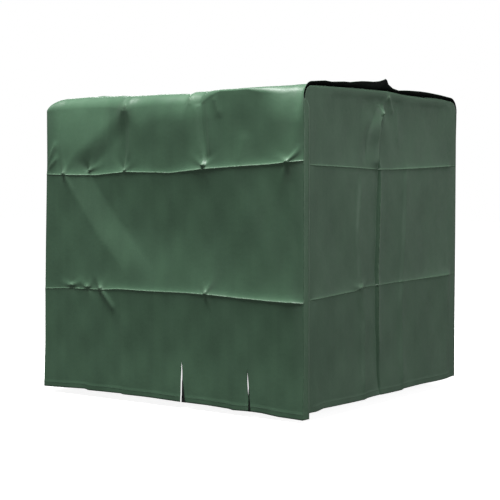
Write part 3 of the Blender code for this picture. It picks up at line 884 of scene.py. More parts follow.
@dataclass
class Wrap:
    """The cloth over the front, the top and the back, with its turned front edges and its two slits."""

    shape: CoverShape
    turn_width: float = 0.030
    # The turned edges get a fixed lighter mark in the colour, all along.
    turn_lightening: float = 0.28
    turn_top: float = 1.040
    turn_taper: float = 0.060
    chamfer: float = 0.0030
    slits: tuple[Slit, ...] = (
        Slit(0.074, 0.084, 0.156, 0.025, 0.007),
        Slit(0.369, 0.386, 0.148, 0.0015, 0.0055),
    )
    column_keys: tuple[float, ...] = (
        -0.60, -0.59, -0.55, -0.26, -0.14, 0.05, 0.074, 0.12, 0.22, 0.369, 0.54, 0.60)
    column_cells: tuple[int, ...] = (5, 9, 38, 24, 26, 6, 10, 22, 20, 24, 20)
    front_rows: tuple[int, ...] = (40, 52, 36)
    back_rows: tuple[int, ...] = (12, 13, 8)
    arc_cells: int = 14
    top_keys: tuple[float, ...] = (-0.50, -0.06, 0.04, 0.50)
    top_cells: tuple[int, ...] = (11, 9, 11)
    turn_shares: tuple[float, ...] = (0.0, 0.15, 0.4, 0.7, 1.0)
    rolled_share: float = 0.8
    top_ripple: float = 2.0
    top_fade: float = 0.060
    wall_rise: float = 0.25
    turn_wave: float = 0.0007
    turn_wave_rate: float = 41.0
    turn_least: float = 0.010
    turn_swell: float = 0.0012
    turn_swell_rate: float = 17.0
    stitch_stop: float = 0.020

    def columns(self) -> tuple[Array, list[int]]:
        """Places of the columns along X, two where a slit lies, and the number of each slit's left one."""
        places = stretch(self.column_keys, self.column_cells)
        for slit in self.slits:
            places = np.insert(places, np.searchsorted(places, slit.top_x - GAP), slit.top_x)
        return places, [int(np.searchsorted(places, slit.top_x - GAP)) for slit in self.slits]

    def wall_rows(self, wall: Wall, x: Array, spring: Array, counts: tuple[int, ...]) -> Array:
        """Heights of a wall's rows from its hem to where its top edge begins to round, crowded at the folds.

        Args:
            wall: the wall.
            x: the columns' places.
            spring: the height where the rounding begins, for each column.
            counts: how many rows each of the three bands has.

        Returns:
            Heights, one row of the array for each column.
        """
        lines = [wall.hem.at(x), wall.low.line.at(x), wall.high.line.at(x), spring]
        return np.stack(banded(lines, counts) + [spring], axis=1)

    def grid(self) -> tuple[Array, Array, Array, list[int], int]:
        """Work out the outer face: rows go up the front, over the top and down the back.

        Each row lies at a turn from 0 on the front wall over a right angle on the top to a half turn on the
        back wall. A point is its place on the plain box with round long edges, moved out along the turn.

        Returns:
            Points, flat places, marks of wear and painted highlight, the slits' left columns, and the number
            of front wall rows.
        """
        shape, (x, starts) = self.shape, self.columns()
        reach, flat, radius = shape.width / 2, shape.flat, shape.shoulder
        roll = shape.roll.at(x)[:, None]
        lean, lean_from = shape.lean.at(x)[:, None], shape.lean_from.at(x)[:, None]
        edge_z = shape.top_height(x, roll[:, 0] - reach)[:, None]
        tilt = np.arctan(2 * lean / (edge_z - self.rolled_share * roll - lean_from))
        spring_front = (edge_z - roll * (1.0 - np.sin(tilt)))[:, 0]
        centre = lean - reach + roll * np.cos(tilt)
        spring_back = shape.top_height(x, np.full_like(x, flat)) - radius
        front_z = self.wall_rows(FRONT, x, spring_front, self.front_rows)
        back_z = self.wall_rows(BACK, x, spring_back, self.back_rows)[:, ::-1]
        arc = np.linspace(0.0, math.pi / 2, self.arc_cells + 1)[1:-1]
        top_y = stretch(self.top_keys, self.top_cells)
        ones = np.ones_like(x)[:, None]
        arc_turn = tilt + (math.pi / 2 - tilt) * arc / (math.pi / 2)
        leaning = np.clip((front_z - lean_from) / (spring_front[:, None] - lean_from), 0.0, 1.0)
        front_y = lean * leaning**2 - reach
        level_y = np.where(top_y < 0.0, top_y * -centre / flat, top_y)
        y = np.concatenate([
            front_y, centre - roll * np.cos(arc_turn), level_y,
            ones * (flat + radius * np.cos(arc[::-1])), reach * ones * np.ones(back_z.shape[1])], axis=1)
        z = np.concatenate([
            front_z, edge_z - roll * (1.0 - np.sin(arc_turn)), shape.top_height(x[:, None], level_y),
            spring_back[:, None] + radius * np.sin(arc[::-1]), back_z], axis=1)
        turn = np.concatenate([
            np.zeros(front_z.shape[1]), arc, np.full(len(top_y), math.pi / 2), math.pi - arc[::-1],
            np.full(back_z.shape[1], math.pi)])
        x_grid = x[:, None] * np.ones_like(y)
        inside = smooth((shape.length / 2 - np.abs(x_grid)) / shape.corner_fade)

        front = turn < math.pi / 2
        back = turn > math.pi / 2
        level = ~front & ~back
        springs = np.where(front, spring_front[:, None], spring_back[:, None])
        walls_z = np.minimum(z, springs)
        sideways, marks = np.zeros_like(z), np.zeros_like(z)
        for wall, rows in ((FRONT, front), (BACK, back)):
            sideways[:, rows] = wall.relief(x_grid[:, rows], walls_z[:, rows], inside[:, rows])
            marks[:, rows] = wall.wear_and_highlight(x_grid[:, rows], z[:, rows])
        sideways[:, back] *= inside[:, back]
        parts = (*shape.top_creases, *shape.top_pinches)
        hump = sum(part.relief(x_grid, y) for part in parts) + self.top_ripple * Ripple().relief(x_grid, y)
        hump = hump * inside * smooth((flat - np.abs(y)) / self.top_fade)
        wear_and_highlight_lists = [part.wear_and_highlight(x_grid, y) for part in parts]
        marks[:, level] = np.max(np.stack(wear_and_highlight_lists), axis=0)[:, level]
        rise = np.where(level, 1.0, self.wall_rise + (1.0 - self.wall_rise) * np.sin(turn))
        rise = rise * smooth((z - springs + shape.lip_fade) / shape.lip_fade)
        lift = np.where(level, hump, 0.0) + shape.lifted(x_grid, np.clip(y, -flat, flat)) * rise

        y = y - (lift + sideways) * np.cos(turn)
        z = z + (lift - shape.drooped(x_grid)) * np.sin(turn)
        x_moved = x_grid + shape.splayed(z) * np.minimum(x_grid, 0.0) / (shape.length / 2)
        for slit, start in zip(self.slits, starts):
            for side, index in ((-1, start), (1, start + 1)):
                x_moved[index, turn == 0.0] += slit.shift(z[index, turn == 0.0], side)
        points = np.stack([x_moved, y, z], axis=2)
        flats = np.stack([x_grid, run_along(points)], axis=2)
        return points, flats, marks, starts, int((turn == 0.0).sum())

    def turned_edge(self, edge: Array, run: Array, side: Side) -> tuple[Array, Array]:
        """Carry the wrap's front edge round a corner onto the end, narrowing to nothing at the top.

        Its width waves a little with the height, as a sine, and it stands off the end by half a sine across
        its width, times a squared sine of the height.

        Args:
            edge: the front wall's last column of points.
            run: its flat places.
            side: the end that it turns onto.

        Returns:
            The turned columns' points and flat places, from the edge outwards.
        """
        sign, z = side.value, edge[:, 2]
        width = self.turn_width * smooth((self.turn_top + self.turn_taper - z) / self.turn_taper)
        width = width + self.turn_wave * np.sin(z * self.turn_wave_rate) * (width > self.turn_least)
        width[-1] = 0.0
        outer = edge[:, 0] + sign * (CLOTH + GAP)
        swell = self.turn_swell * np.sin(z * self.turn_swell_rate + 1.0) ** 2
        columns, flats = [edge], [run]
        for share in self.turn_shares:
            y = np.maximum(edge[:, 1], -self.shape.width / 2) + self.chamfer + width * share
            bow_share = math.sin(math.pi * share)
            columns.append(np.stack([outer + sign * swell * bow_share, y, z], axis=1))
            flats.append(run + np.stack([sign * (self.chamfer + width * share), 0 * z], axis=1))
        return np.stack(columns[::sign]), np.stack(flats[::sign])

    def seams(self, inset: float) -> list[tuple[Array, tuple[float, float, float]]]:
        """Lines for stitching: the front hem between the slits, the back hem and both turned edges.

        Args:
            inset: how far the stitches lie from the cloth's edge.

        Returns:
            Each line's points, and the direction away from the cloth.
        """
        points, flats, _, starts, walls = self.grid()
        run = flats[:, :, 1]
        lines = []
        cuts = [0, *(start + 1 for start in starts), len(points)]
        hem = along_row(points, run, run[:, :1] + inset)
        for first, last in zip(cuts, cuts[1:]):
            lines.append((hem[first:last], (0.0, -1.0, 0.0)))
        lines.append((along_row(points, run, run[:, -1:] - inset), (0.0, 1.0, 0.0)))
        for side, index in ((Side.NEAR, -1), (Side.FAR, 0)):
            turn, _ = self.turned_edge(points[index, :walls], flats[index, :walls], side)
            column = turn[:: side.value][-2]
            column = column[column[:, 2] < self.turn_top - self.stitch_stop]
            lines.append((column, (float(side.value), 0.0, 0.0)))
        return lines

    def build(self, dress: list) -> bpy.types.Object:
        points, flats, marks, starts, walls = self.grid()
        columns, rows = marks.shape
        everything = [points.reshape(-1, 3)]
        places, wear_and_highlight_lists = [flats.reshape(-1, 2)], [marks.reshape(-1)]
        faces = [sheet_faces(columns, rows, tuple(starts))]
        offset = columns * rows
        for side, index in ((Side.NEAR, -1), (Side.FAR, 0)):
            turn, flat = self.turned_edge(points[index, :walls], flats[index, :walls], side)
            faces.append(sheet_faces(len(turn), walls, offset=offset))
            everything.append(turn.reshape(-1, 3))
            places.append(flat.reshape(-1, 2))
            # The turned edges are made lighter in colour all along.
            wear_and_highlight_lists.append(np.full(turn.shape[0] * walls, self.turn_lightening))
            offset += turn.shape[0] * walls
        piece = make_cloth("wrap_cloth", np.concatenate(everything), np.concatenate(faces),
                           np.concatenate(places), np.concatenate(wear_and_highlight_lists), dress)
        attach(piece, "root")
        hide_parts("wrap")
        return piece


@dataclass
class EndPanel:
    """A cloth that closes one end.

    Its top edge comes in by the roll, stands higher than the wall's top line by over and stays down by the
    droop. A tuck carries it in under the wrap. Folds and creases fade out before its rim.
    """

    shape: CoverShape
    side: Side
    wall: Wall
    piece_name: str
    node: str
    roll: float
    droop: float
    tuck: float
    over: float = 0.0
    rim: float = 0.034
    rim_fade: float = 0.040
    edge_room: float = 0.0030
    rows: tuple[int, ...] = (44, 50, 44)
    arc_cells: int = 14
    keys: tuple[float, ...] = (-0.50, -0.46, -0.23, -0.14, -0.10, -0.02, 0.02, 0.15, 0.46, 0.50)
    cells: tuple[int, ...] = (8, 30, 14, 8, 50, 10, 20, 34, 8)
    top_room: float = 0.012
    top_fade: float = 0.030
    tuck_shares: tuple[float, ...] = (0.25, 0.5, 0.75, 1.0)
    tuck_narrowing: float = 0.09
    stitch_start: float = 0.040

    def grid(self) -> tuple[Array, Array, Array]:
        """Work out the outer face: rows go up from the hem, and the last ones round the top corners and edge.

        Returns:
            Points, flat places and marks of wear and painted highlight.
        """
        shape = self.shape
        flat, radius, inset = shape.flat, shape.shoulder, CLOTH + GAP
        across = stretch(self.keys, self.cells) / flat
        narrow = np.where(across < 0.0, self.edge_room, 0.0)
        wide = shape.width / 2 - inset - narrow
        base = across * wide
        top = self.wall.top.at(across * flat) + self.over
        spring = top - radius
        lines = [self.wall.hem.at(base), self.wall.low.line.at(base), self.wall.high.line.at(base), spring]
        z_rows = banded(lines, self.rows)
        y_rows = [base] * len(z_rows)
        for angle in np.linspace(0.0, math.pi / 2, self.arc_cells + 1):
            y_rows.append(across * (flat + (radius - inset - narrow) * math.cos(angle)))
            z_rows.append(spring + (radius - inset - self.droop) * math.sin(angle))
        y, z = np.stack(y_rows, 1), np.stack(z_rows, 1)
        edges = smooth((wide - self.rim - np.abs(base)) / self.rim_fade)[:, None]
        edges = edges * smooth((z[:, -1:] - self.top_room - z) / self.top_fade)
        relief = self.wall.relief(y, z, 1.0) * edges
        marks = self.wall.wear_and_highlight(y, z)
        below = np.clip((z - z[:, -1:] + self.roll) / max(self.roll, GAP), 0.0, 1.0)
        x = shape.length / 2 + relief - self.roll * (1.0 - np.sqrt(1.0 - below**2))
        if self.side is Side.FAR:
            x = x + shape.splayed(z)
        points = np.stack([self.side.value * x, y, z], axis=2)
        if self.tuck:
            inward = np.array(self.tuck_shares)
            inner = points[:, -1:].repeat(len(inward), axis=1)
            start = inner[:, :, 0]
            inner[:, :, 0] = start + (shape.length / 2 - self.tuck - start) * inward
            inner[:, :, 1] *= 1.0 - self.tuck_narrowing * inward
            points = np.concatenate([points, inner], axis=1)
            marks = np.concatenate([marks, np.zeros(inner.shape[:2])], axis=1)
        flats = np.stack([points[:, :, 1], run_along(points)], axis=2)
        return points[:: self.side.value], flats[:: self.side.value], marks[:: self.side.value]

    def seams(self, inset: float) -> list[tuple[Array, tuple[float, float, float]]]:
        """The line for the panel's hem stitches, short of the turned edge, and the way out of the cloth."""
        points, flats, _ = self.grid()
        hem = along_row(points, flats[:, :, 1], flats[:, :1, 1] + inset)
        hem = hem[hem[:, 1] > self.stitch_start - self.shape.width / 2]
        return [(hem, (float(self.side.value), 0.0, 0.0))]

    def build(self, dress: list) -> bpy.types.Object:
        points, flats, marks = self.grid()
        piece = make_cloth(self.piece_name, points.reshape(-1, 3), sheet_faces(*marks.shape),
                           flats.reshape(-1, 2), marks.reshape(-1), dress)
        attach(piece, "root")
        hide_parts(self.node)
        return piece


class Nodes:
    """A short way to add and join shader nodes in one tree."""

    def __init__(self, tree: bpy.types.NodeTree) -> None:
        """Keep the tree."""
        self.tree = tree

    def add(self, kind: str, **values: object) -> bpy.types.Node:
        """Add a node of a kind and set its properties."""
        node = self.tree.nodes.new(kind)
        for name, value in values.items():
            setattr(node, name, value)
        return node

    def join(self, source: bpy.types.NodeSocket, target: bpy.types.NodeSocket) -> None:
        """Join an output to an input."""
        self.tree.links.new(source, target)

    def math(self, operation: str, first: object, second: object = 0.0,
             clamp: bool = False) -> bpy.types.NodeSocket:
        """Add a Math node on two sockets or numbers and give its output."""
        node = self.add("ShaderNodeMath", operation=operation, use_clamp=clamp)
        for socket, value in zip(node.inputs, (first, second)):
            if isinstance(value, (int, float)):
                socket.default_value = value
            else:
                self.join(value, socket)
        return node.outputs[0]

    def ramp(self, source: bpy.types.NodeSocket, low: float, high: float,
             to_low: float = 0.0, to_high: float = 1.0) -> bpy.types.NodeSocket:
        """Map a value's range onto another, clamped and smooth."""
        node = self.add("ShaderNodeMapRange", interpolation_type="SMOOTHSTEP")
        self.join(source, node.inputs["Value"])
        for name, value in (("From Min", low), ("From Max", high), ("To Min", to_low), ("To Max", to_high)):
            node.inputs[name].default_value = value
        return node.outputs["Result"]

    def noise(self, place: bpy.types.NodeSocket, scale: float, detail: float = 3.0,
              rough: float = 0.55) -> bpy.types.NodeSocket:
        """Add noise of a scale and give its value."""
        node = self.add("ShaderNodeTexNoise")
        self.join(place, node.inputs["Vector"])
        node.inputs["Scale"].default_value = scale
        node.inputs["Detail"].default_value = detail
        node.inputs["Roughness"].default_value = rough
        return node.outputs["Fac"]

    def scaled(self, place: bpy.types.NodeSocket, scale: tuple[float, float, float]) -> bpy.types.NodeSocket:
        """Stretch a place by a factor on each axis."""
        node = self.add("ShaderNodeMapping")
        self.join(place, node.inputs["Vector"])
        node.inputs["Scale"].default_value = scale
        return node.outputs["Vector"]

    def mix(self, share: bpy.types.NodeSocket, low: object, high: object) -> bpy.types.NodeSocket:
        """Mix two colours by a share and give the result."""
        node = self.add("ShaderNodeMix", data_type="RGBA")
        self.join(share, node.inputs["Factor"])
        for socket, value in ((node.inputs["A"], low), (node.inputs["B"], high)):
            if isinstance(value, tuple):
                socket.default_value = (*value, 1.0)
            else:
                self.join(value, socket)
        return node.outputs["Result"]


def new_group(name: str, inputs: dict[str, tuple[str, float]],
              outputs: tuple[str, ...]) -> bpy.types.NodeTree:
    """Start a shader node group.

    Args:
        name: the group's name.
        inputs: each input's socket type and default, by name.
        outputs: the names of its number outputs.

    Returns:
        The group, with its sockets.
    """
    group = bpy.data.node_groups.new(name, "ShaderNodeTree")
    for label, (kind, default) in inputs.items():
        socket = group.interface.new_socket(label, in_out="INPUT", socket_type=kind)
        if kind == "NodeSocketFloat":
            socket.default_value = default
    for label in outputs:
        group.interface.new_socket(label, in_out="OUTPUT", socket_type="NodeSocketFloat")
    return group


YARN_CHANGE = 0.3  # how soft the change from one yarn on top to the other is
FACETS = ((1.0, 1.0), (2.7, 0.4))  # each size of crumple: how many times finer, and its share


def weave_group() -> bpy.types.NodeTree:
    """Plain weave of fine yarn: two crossed waves, as |sin| of each way, that take turns to lie on top.

    The product of both sines says which lies on top, with a soft change round zero.

    Returns:
        A group that puts out the weave's height, from a flat place and the yarns per metre.
    """
    group = new_group("plain_weave", {"Place": ("NodeSocketVector", 0.0),
                                      "Yarns": ("NodeSocketFloat", 900.0)}, ("Height",))
    nodes = Nodes(group)
    start, end = nodes.add("NodeGroupInput"), nodes.add("NodeGroupOutput")
    split = nodes.add("ShaderNodeSeparateXYZ")
    nodes.join(start.outputs["Place"], split.inputs["Vector"])
    turn = nodes.math("MULTIPLY", start.outputs["Yarns"], math.pi)
    across, along = (nodes.math("MULTIPLY", split.outputs[axis], turn) for axis in ("X", "Y"))
    warp = nodes.math("ABSOLUTE", nodes.math("SINE", across))
    weft = nodes.math("ABSOLUTE", nodes.math("SINE", along))
    over = nodes.math("MULTIPLY", nodes.math("SINE", across), nodes.math("SINE", along))
    share = nodes.ramp(over, -YARN_CHANGE, YARN_CHANGE)
    rest = nodes.math("SUBTRACT", 1.0, share)
    height = nodes.math("ADD", nodes.math("MULTIPLY", warp, share), nodes.math("MULTIPLY", weft, rest))
    nodes.join(height, end.inputs["Height"])
    return group


def crumple_group() -> bpy.types.NodeTree:
    """Crumpled cloth: facets that meet in sharp lines, as the distance to scattered points, in two sizes.

    Returns:
        A group that puts out the crumples' height, from a place and the facets' scale.
    """
    group = new_group("crumple", {"Place": ("NodeSocketVector", 0.0),
                                  "Scale": ("NodeSocketFloat", 30.0)}, ("Height",))
    nodes = Nodes(group)
    start, end = nodes.add("NodeGroupInput"), nodes.add("NodeGroupOutput")
    heights = []
    for factor, share in FACETS:
        cells = nodes.add("ShaderNodeTexVoronoi", feature="F1", distance="EUCLIDEAN")
        nodes.join(start.outputs["Place"], cells.inputs["Vector"])
        nodes.join(nodes.math("MULTIPLY", start.outputs["Scale"], factor), cells.inputs["Scale"])
        heights.append(nodes.math("MULTIPLY", cells.outputs["Distance"], share))
    nodes.join(nodes.math("ADD", *heights), end.inputs["Height"])
    return group


@dataclass(frozen=True)
class CoatedCloth:
    """Woven polyester with a smooth coat: its colours, gloss and weave."""

    name: str
    deep: tuple[float, float, float]
    light: tuple[float, float, float]
    rub_and_highlight: tuple[float, float, float]
    rough: float
    specular: float
    coat: float
    sheen: float
    yarns: float = 900.0
    weave_depth: float = 0.00006
    crumple_depth: float = 0.0030
    crumple_scale: float = 58.0
    crumple_least: float = 0.055
    crumple_range: tuple[float, float] = (0.30, 0.9)
    streak_scale: tuple[float, float, float] = (26.0, 26.0, 1.1)
    streak_share: float = 0.38
    blotch_scale: float = 5.3
    tone_range: tuple[float, float] = (0.36, 0.64)
    speckle_scale: float = 210.0
    speckle_least: float = 0.35
    speckle_range: tuple[float, float] = (0.30, 0.62)
    rub_and_highlight_share: float = 0.55
    rubbed_rough: float = 0.08
    grain_scale: float = 46.0
    grain_range: tuple[float, float] = (0.3, 0.7)
    grain_rough: float = 0.05
    coat_rough: float = 0.38
    sheen_rough: float = 0.45
    weave_strength: float = 0.5

    def material(self, weave: bpy.types.NodeTree, crumple: bpy.types.NodeTree) -> bpy.types.Material:
        """Build the finish.

        The colour drifts between deep and light with slow noise and faint upright streaks, and is made
        lighter by the mark along folds, creases, pinches, the wedge's slope and the turned edges: partly
        rubbing, partly painted highlight and sheen. The relief under the weave adds small crumples near
        creases.

        Args:
            weave: the weave's node group.
            crumple: the crumples' node group.

        Returns:
            The material.
        """
        material = bpy.data.materials.new(self.name)
        material.use_nodes = True
        nodes = Nodes(material.node_tree)
        shader = material.node_tree.nodes["Principled BSDF"]
        place = nodes.add("ShaderNodeTexCoord")
        flat = nodes.add("ShaderNodeUVMap", uv_map="flat_cloth")
        marks = nodes.add("ShaderNodeAttribute", attribute_name="wear_and_highlight")
        wear_and_highlight = marks.outputs["Fac"]

        creased = nodes.add("ShaderNodeGroup", node_tree=crumple)
        nodes.join(place.outputs["Object"], creased.inputs["Place"])
        creased.inputs["Scale"].default_value = self.crumple_scale
        streaks = nodes.noise(nodes.scaled(place.outputs["Object"], self.streak_scale), 1.0, detail=2.0)
        blotches = nodes.noise(place.outputs["Object"], self.blotch_scale)
        drift = nodes.math("ADD", nodes.math("MULTIPLY", blotches, 1.0 - self.streak_share),
                           nodes.math("MULTIPLY", streaks, self.streak_share))
        tone = nodes.mix(nodes.ramp(drift, *self.tone_range), self.deep, self.light)
        speckle = nodes.noise(place.outputs["Object"], self.speckle_scale, detail=2.0)
        speckle = nodes.ramp(speckle, *self.speckle_range, to_low=self.speckle_least)
        # Lighter colour from the mark: partly rubbing, partly painted highlight and painted sheen.
        rubbing_and_highlight = nodes.math("MULTIPLY", wear_and_highlight, speckle)
        rub_and_highlight = nodes.math("MULTIPLY", rubbing_and_highlight, self.rub_and_highlight_share, clamp=True)
        nodes.join(nodes.mix(rub_and_highlight, tone, self.rub_and_highlight), shader.inputs["Base Color"])

        grain = nodes.noise(place.outputs["Object"], self.grain_scale)
        grain = nodes.ramp(grain, *self.grain_range, self.rough - self.grain_rough,
                           self.rough + self.grain_rough)
        rough = nodes.math("ADD", grain, nodes.math("MULTIPLY", rubbing_and_highlight, self.rubbed_rough))
        nodes.join(rough, shader.inputs["Roughness"])
        shader.inputs["Specular IOR Level"].default_value = self.specular
        shader.inputs["Coat Weight"].default_value = self.coat
        shader.inputs["Coat Roughness"].default_value = self.coat_rough
        shader.inputs["Sheen Weight"].default_value = self.sheen
        shader.inputs["Sheen Roughness"].default_value = self.sheen_rough

        yarn = nodes.add("ShaderNodeGroup", node_tree=weave)
        nodes.join(flat.outputs["UV"], yarn.inputs["Place"])
        yarn.inputs["Yarns"].default_value = self.yarns
        fine = nodes.add("ShaderNodeBump")
        fine.inputs["Distance"].default_value = self.weave_depth
        fine.inputs["Strength"].default_value = self.weave_strength
        nodes.join(yarn.outputs["Height"], fine.inputs["Height"])
        soft = nodes.add("ShaderNodeBump")
        soft.inputs["Distance"].default_value = self.crumple_depth
        soft.inputs["Strength"].default_value = 1.0
        gathering = nodes.ramp(wear_and_highlight, *self.crumple_range, to_low=self.crumple_least)
        gathered = nodes.math("MULTIPLY", creased.outputs["Height"], gathering)
        nodes.join(gathered, soft.inputs["Height"])
        nodes.join(fine.outputs["Normal"], soft.inputs["Normal"])
        nodes.join(soft.outputs["Normal"], shader.inputs["Normal"])
        return material


# Each cloth's rubbed colour stands for rubbing and also for a painted highlight and sheen.
GREEN_WRAP = CoatedCloth(
    "green_coated_wrap", deep=(0.062, 0.130, 0.077), light=(0.071, 0.149, 0.087),
    rub_and_highlight=(0.165, 0.262, 0.175), rough=0.44, specular=0.35, coat=0.10, sheen=0.05)
GREEN_END = CoatedCloth(
    "green_coated_end", deep=(0.062, 0.120, 0.075), light=(0.072, 0.138, 0.086),
    rub_and_highlight=(0.150, 0.250, 0.160), rough=0.48, specular=0.33, coat=0.08, sheen=0.10)
BLACK_INSIDE = CoatedCloth(
    "black_coated_inside", deep=(0.0045, 0.0060, 0.0052), light=(0.0075, 0.0095, 0.0082),
    rub_and_highlight=(0.020, 0.024, 0.021), rough=0.55, specular=0.20, coat=0.0, sheen=0.0)


@dataclass
class Thread:
    """Rows of stitches: short spindles of thread that lie on the cloth."""

    pitch: float = 0.0050
    share: float = 0.72
    radius: float = 0.00045
    sides: int = 6
    inset: float = 0.018
    colour: tuple[float, float, float] = (0.030, 0.062, 0.038)
    rough: float = 0.7
    ring_count: int = 5
    end_share: float = 0.35
    raised: float = 0.35

    def spindles(self, line: Array, out: Array) -> tuple[Array, Array]:
        """Make one spindle between each pair of neighbouring points of a line.

        A spindle is rings of a few sides along the stitch, closed at both ends. Their radius grows from a
        share of the full one at the ends by a half sine.

        Args:
            line: points one pitch apart.
            out: the direction away from the cloth at each point.

        Returns:
            Points and four-sided faces.
        """
        start, end = line[:-1], line[1:]
        run = end - start
        direction = run / np.linalg.norm(run, axis=1, keepdims=True)
        normal = out[:-1] - direction * np.sum(out[:-1] * direction, axis=1, keepdims=True)
        normal /= np.linalg.norm(normal, axis=1, keepdims=True)
        binormal = np.cross(direction, normal)
        steps = np.linspace(0.0, 1.0, self.ring_count)
        rings = []
        for step in steps:
            swell = self.radius * (self.end_share + (1.0 - self.end_share) * math.sin(math.pi * step))
            middle = start + run * (0.5 + (step - 0.5) * self.share) + normal * self.radius * self.raised
            for k in range(self.sides):
                angle = 2 * math.pi * k / self.sides
                rings.append(middle + swell * (math.cos(angle) * normal + math.sin(angle) * binormal))
        points = np.stack(rings, axis=1)
        count, per = points.shape[:2]
        faces = []
        for ring in range(len(steps) - 1):
            for k in range(self.sides):
                a, b = ring * self.sides + k, ring * self.sides + (k + 1) % self.sides
                faces.append((a, b, b + self.sides, a + self.sides))
        half = self.sides // 2
        last = per - self.sides
        for k in range(half - 1):
            faces.append((k, self.sides - 1 - k, self.sides - 2 - k, k + 1))
            faces.append((last + k, last + k + 1, last + self.sides - 2 - k, last + self.sides - 1 - k))
        faces = np.array(faces)[None] + (np.arange(count) * per)[:, None, None]
        return points.reshape(-1, 3), faces.reshape(-1, 4)

    def spaced(self, points: Array) -> Array:
        """Put a dense line's points one pitch apart along it."""
        steps = np.linalg.norm(np.diff(points, axis=0), axis=1)
        run = np.concatenate([[0.0], np.cumsum(steps)])
        at = np.arange(0.0, run[-1], self.pitch)
        return np.stack([np.interp(at, run, points[:, k]) for k in range(3)], axis=1)

    def build(self, seams: list[tuple[Array, tuple[float, float, float]]]) -> bpy.types.Object:
        """Sew along the seams, as one piece of thread.

        Args:
            seams: each line's points, and the direction away from the cloth.

        Returns:
            The finished piece.
        """
        points, faces, count = [], [], 0
        for line, away in seams:
            line = self.spaced(line)
            new_points, new_faces = self.spindles(line, np.broadcast_to(np.array(away), line.shape))
            points.append(new_points)
            faces.append(new_faces + count)
            count += len(new_points)
        mesh = bpy.data.meshes.new("hem_stitches")
        mesh.from_pydata(np.concatenate(points).tolist(), [], np.concatenate(faces).tolist())
        mesh.shade_smooth()
        thread = bpy.data.materials.new("green_thread")
        thread.use_nodes = True
        shader = thread.node_tree.nodes["Principled BSDF"]
        shader.inputs["Base Color"].default_value = (*self.colour, 1.0)
        shader.inputs["Roughness"].default_value = self.rough
        mesh.materials.append(thread)
        piece = bpy.data.objects.new("hem_stitches", mesh)
        bpy.context.scene.collection.objects.link(piece)
        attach(piece, "root")
        return piece


@dataclass(frozen=True)
class Lamp:
    """A soft lamp: where it hangs, the point it faces, its width and height, and its power in watts."""

    name: str
    place: tuple[float, float, float]
    aim: tuple[float, float, float]
    size: tuple[float, float]
    power: float

    def hang(self) -> None:
        """Hang the lamp, tipped up from straight down and turned towards its aim."""
        lamp = bpy.data.lights.new(self.name, "AREA")
        lamp.shape = "RECTANGLE"
        lamp.size, lamp.size_y = self.size
        lamp.energy = self.power
        holder = bpy.data.objects.new(self.name, lamp)
        holder.location = self.place
        x, y, z = np.array(self.aim) - np.array(self.place)
        holder.rotation_euler = Euler((math.atan2(math.hypot(x, y), -z), 0.0, math.atan2(y, x) - math.pi / 2))
        bpy.context.scene.collection.objects.link(holder)


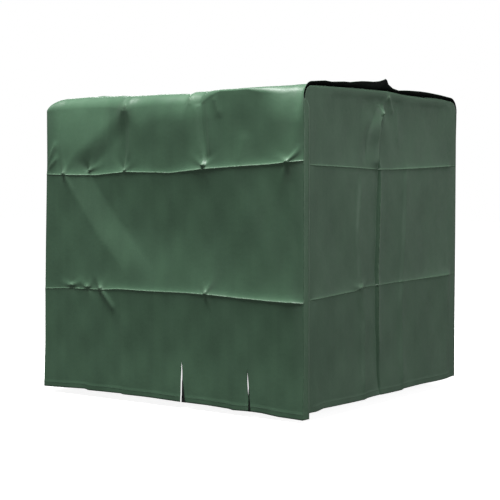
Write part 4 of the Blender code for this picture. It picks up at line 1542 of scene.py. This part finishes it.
@dataclass
class Studio:
    """Floor, light and camera."""

    camera_place: tuple[float, float, float] = (2.9185, -4.0183, 0.750)
    camera_turn: float = 36.227
    camera_down: float = 2.445
    lens: float = 90.11
    sensor: float = 36.0
    floor_size: float = 60.0
    floor_drop: float = 0.012
    floor_grey: float = 0.90
    floor_rough: float = 0.9
    floor_glow: float = 0.90
    sky_light: float = 0.13
    sky_seen: float = 1.0
    lamps: tuple[Lamp, ...] = (
        Lamp("overhead", (-0.4, -1.85, 7.2), (0.0, -0.5, 0.8), (3.8, 2.6), 900.0),
        Lamp("end_top", (1.35, -0.7, 4.2), (0.6, 0.0, 0.8), (0.8, 2.4), 80.0),
        Lamp("end_fill", (5.2, 0.8, 1.4), (0.6, 0.0, 0.5), (1.6, 2.0), 62.0),
        Lamp("end_side", (3.2, 5.6, 1.0), (0.6, 0.0, 0.5), (0.9, 1.6), 4.0),
        Lamp("back_fill", (-4.2, 4.2, 2.4), (-0.3, 0.3, 0.6), (2.4, 1.8), 95.0),
        Lamp("front_fill", (-0.6, -5.6, 0.6), (0.0, -0.5, 0.3), (2.0, 1.2), 18.0),
    )

    def build(self) -> None:
        """Set the camera, the lamps, the pale surroundings and the floor."""
        scene = bpy.context.scene
        camera = bpy.data.cameras.new("camera")
        camera.lens, camera.sensor_width = self.lens, self.sensor
        holder = bpy.data.objects.new("camera", camera)
        holder.location = self.camera_place
        holder.rotation_euler = (math.radians(90.0 - self.camera_down), 0.0, math.radians(self.camera_turn))
        scene.collection.objects.link(holder)
        scene.camera = holder
        scene.view_settings.view_transform = "Standard"

        for lamp in self.lamps:
            lamp.hang()

        world = bpy.data.worlds.new("pale")
        world.use_nodes = True
        scene.world = world
        nodes = Nodes(world.node_tree)
        back = world.node_tree.nodes["Background"]
        out = world.node_tree.nodes["World Output"]
        back.inputs["Color"].default_value = (*WHITE, 1.0)
        back.inputs["Strength"].default_value = self.sky_light
        seen = nodes.add("ShaderNodeBackground")
        seen.inputs["Color"].default_value = (*WHITE, 1.0)
        seen.inputs["Strength"].default_value = self.sky_seen
        path = nodes.add("ShaderNodeLightPath")
        choice = nodes.add("ShaderNodeMixShader")
        nodes.join(path.outputs["Is Camera Ray"], choice.inputs["Fac"])
        nodes.join(back.outputs["Background"], choice.inputs[1])
        nodes.join(seen.outputs["Background"], choice.inputs[2])
        nodes.join(choice.outputs["Shader"], out.inputs["Surface"])

        half = self.floor_size / 2
        mesh = bpy.data.meshes.new("floor")
        corners = [(-half, -half), (half, -half), (half, half), (-half, half)]
        mesh.from_pydata([(x, y, -self.floor_drop) for x, y in corners], [], [(0, 1, 2, 3)])
        paint = bpy.data.materials.new("pale_floor")
        paint.use_nodes = True
        shader = paint.node_tree.nodes["Principled BSDF"]
        shader.inputs["Base Color"].default_value = (*(self.floor_grey,) * 3, 1.0)
        shader.inputs["Roughness"].default_value = self.floor_rough
        shader.inputs["Emission Color"].default_value = (*WHITE, 1.0)
        shader.inputs["Emission Strength"].default_value = self.floor_glow
        mesh.materials.append(paint)
        floor = bpy.data.objects.new("floor", mesh)
        floor.visible_diffuse = False
        floor.visible_glossy = False
        scene.collection.objects.link(floor)


def main() -> None:
    """Build the cover's cloths in order, dress them and set the studio."""
    logging.basicConfig(level=logging.INFO, format="%(message)s")
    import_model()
    shape = CoverShape()
    weave, crumple = weave_group(), crumple_group()
    inside = BLACK_INSIDE.material(weave, crumple)
    wrap = Wrap(shape)
    piece = wrap.build([GREEN_WRAP.material(weave, crumple), inside])
    LOG.info("wrap: %d faces", len(piece.data.polygons))
    green_end = GREEN_END.material(weave, crumple)
    inset = CLOTH + GAP
    near = EndPanel(shape, Side.NEAR, NEAR_WALL, "near_end_cloth", "near_end_panel", roll=0.008, droop=0.0,
                    tuck=shape.tuck, over=inset)
    far = EndPanel(shape, Side.FAR, FAR_WALL, "far_end_cloth", "far_end_panel", roll=0.0,
                   droop=shape.droop + DROOP_ROOM, tuck=0.0, rows=(26, 30, 22))
    for panel in (near, far):
        piece = panel.build([green_end, inside])
        LOG.info("%s: %d faces", piece.name, len(piece.data.polygons))
    thread = Thread()
    seams = [seam for cloth in (wrap, near, far) for seam in cloth.seams(thread.inset)]
    LOG.info("stitches: %d faces", len(thread.build(seams).data.polygons))
    Studio().build()
    LOG.info("studio: camera, lamps and floor")


if __name__ == "__main__":
    main()
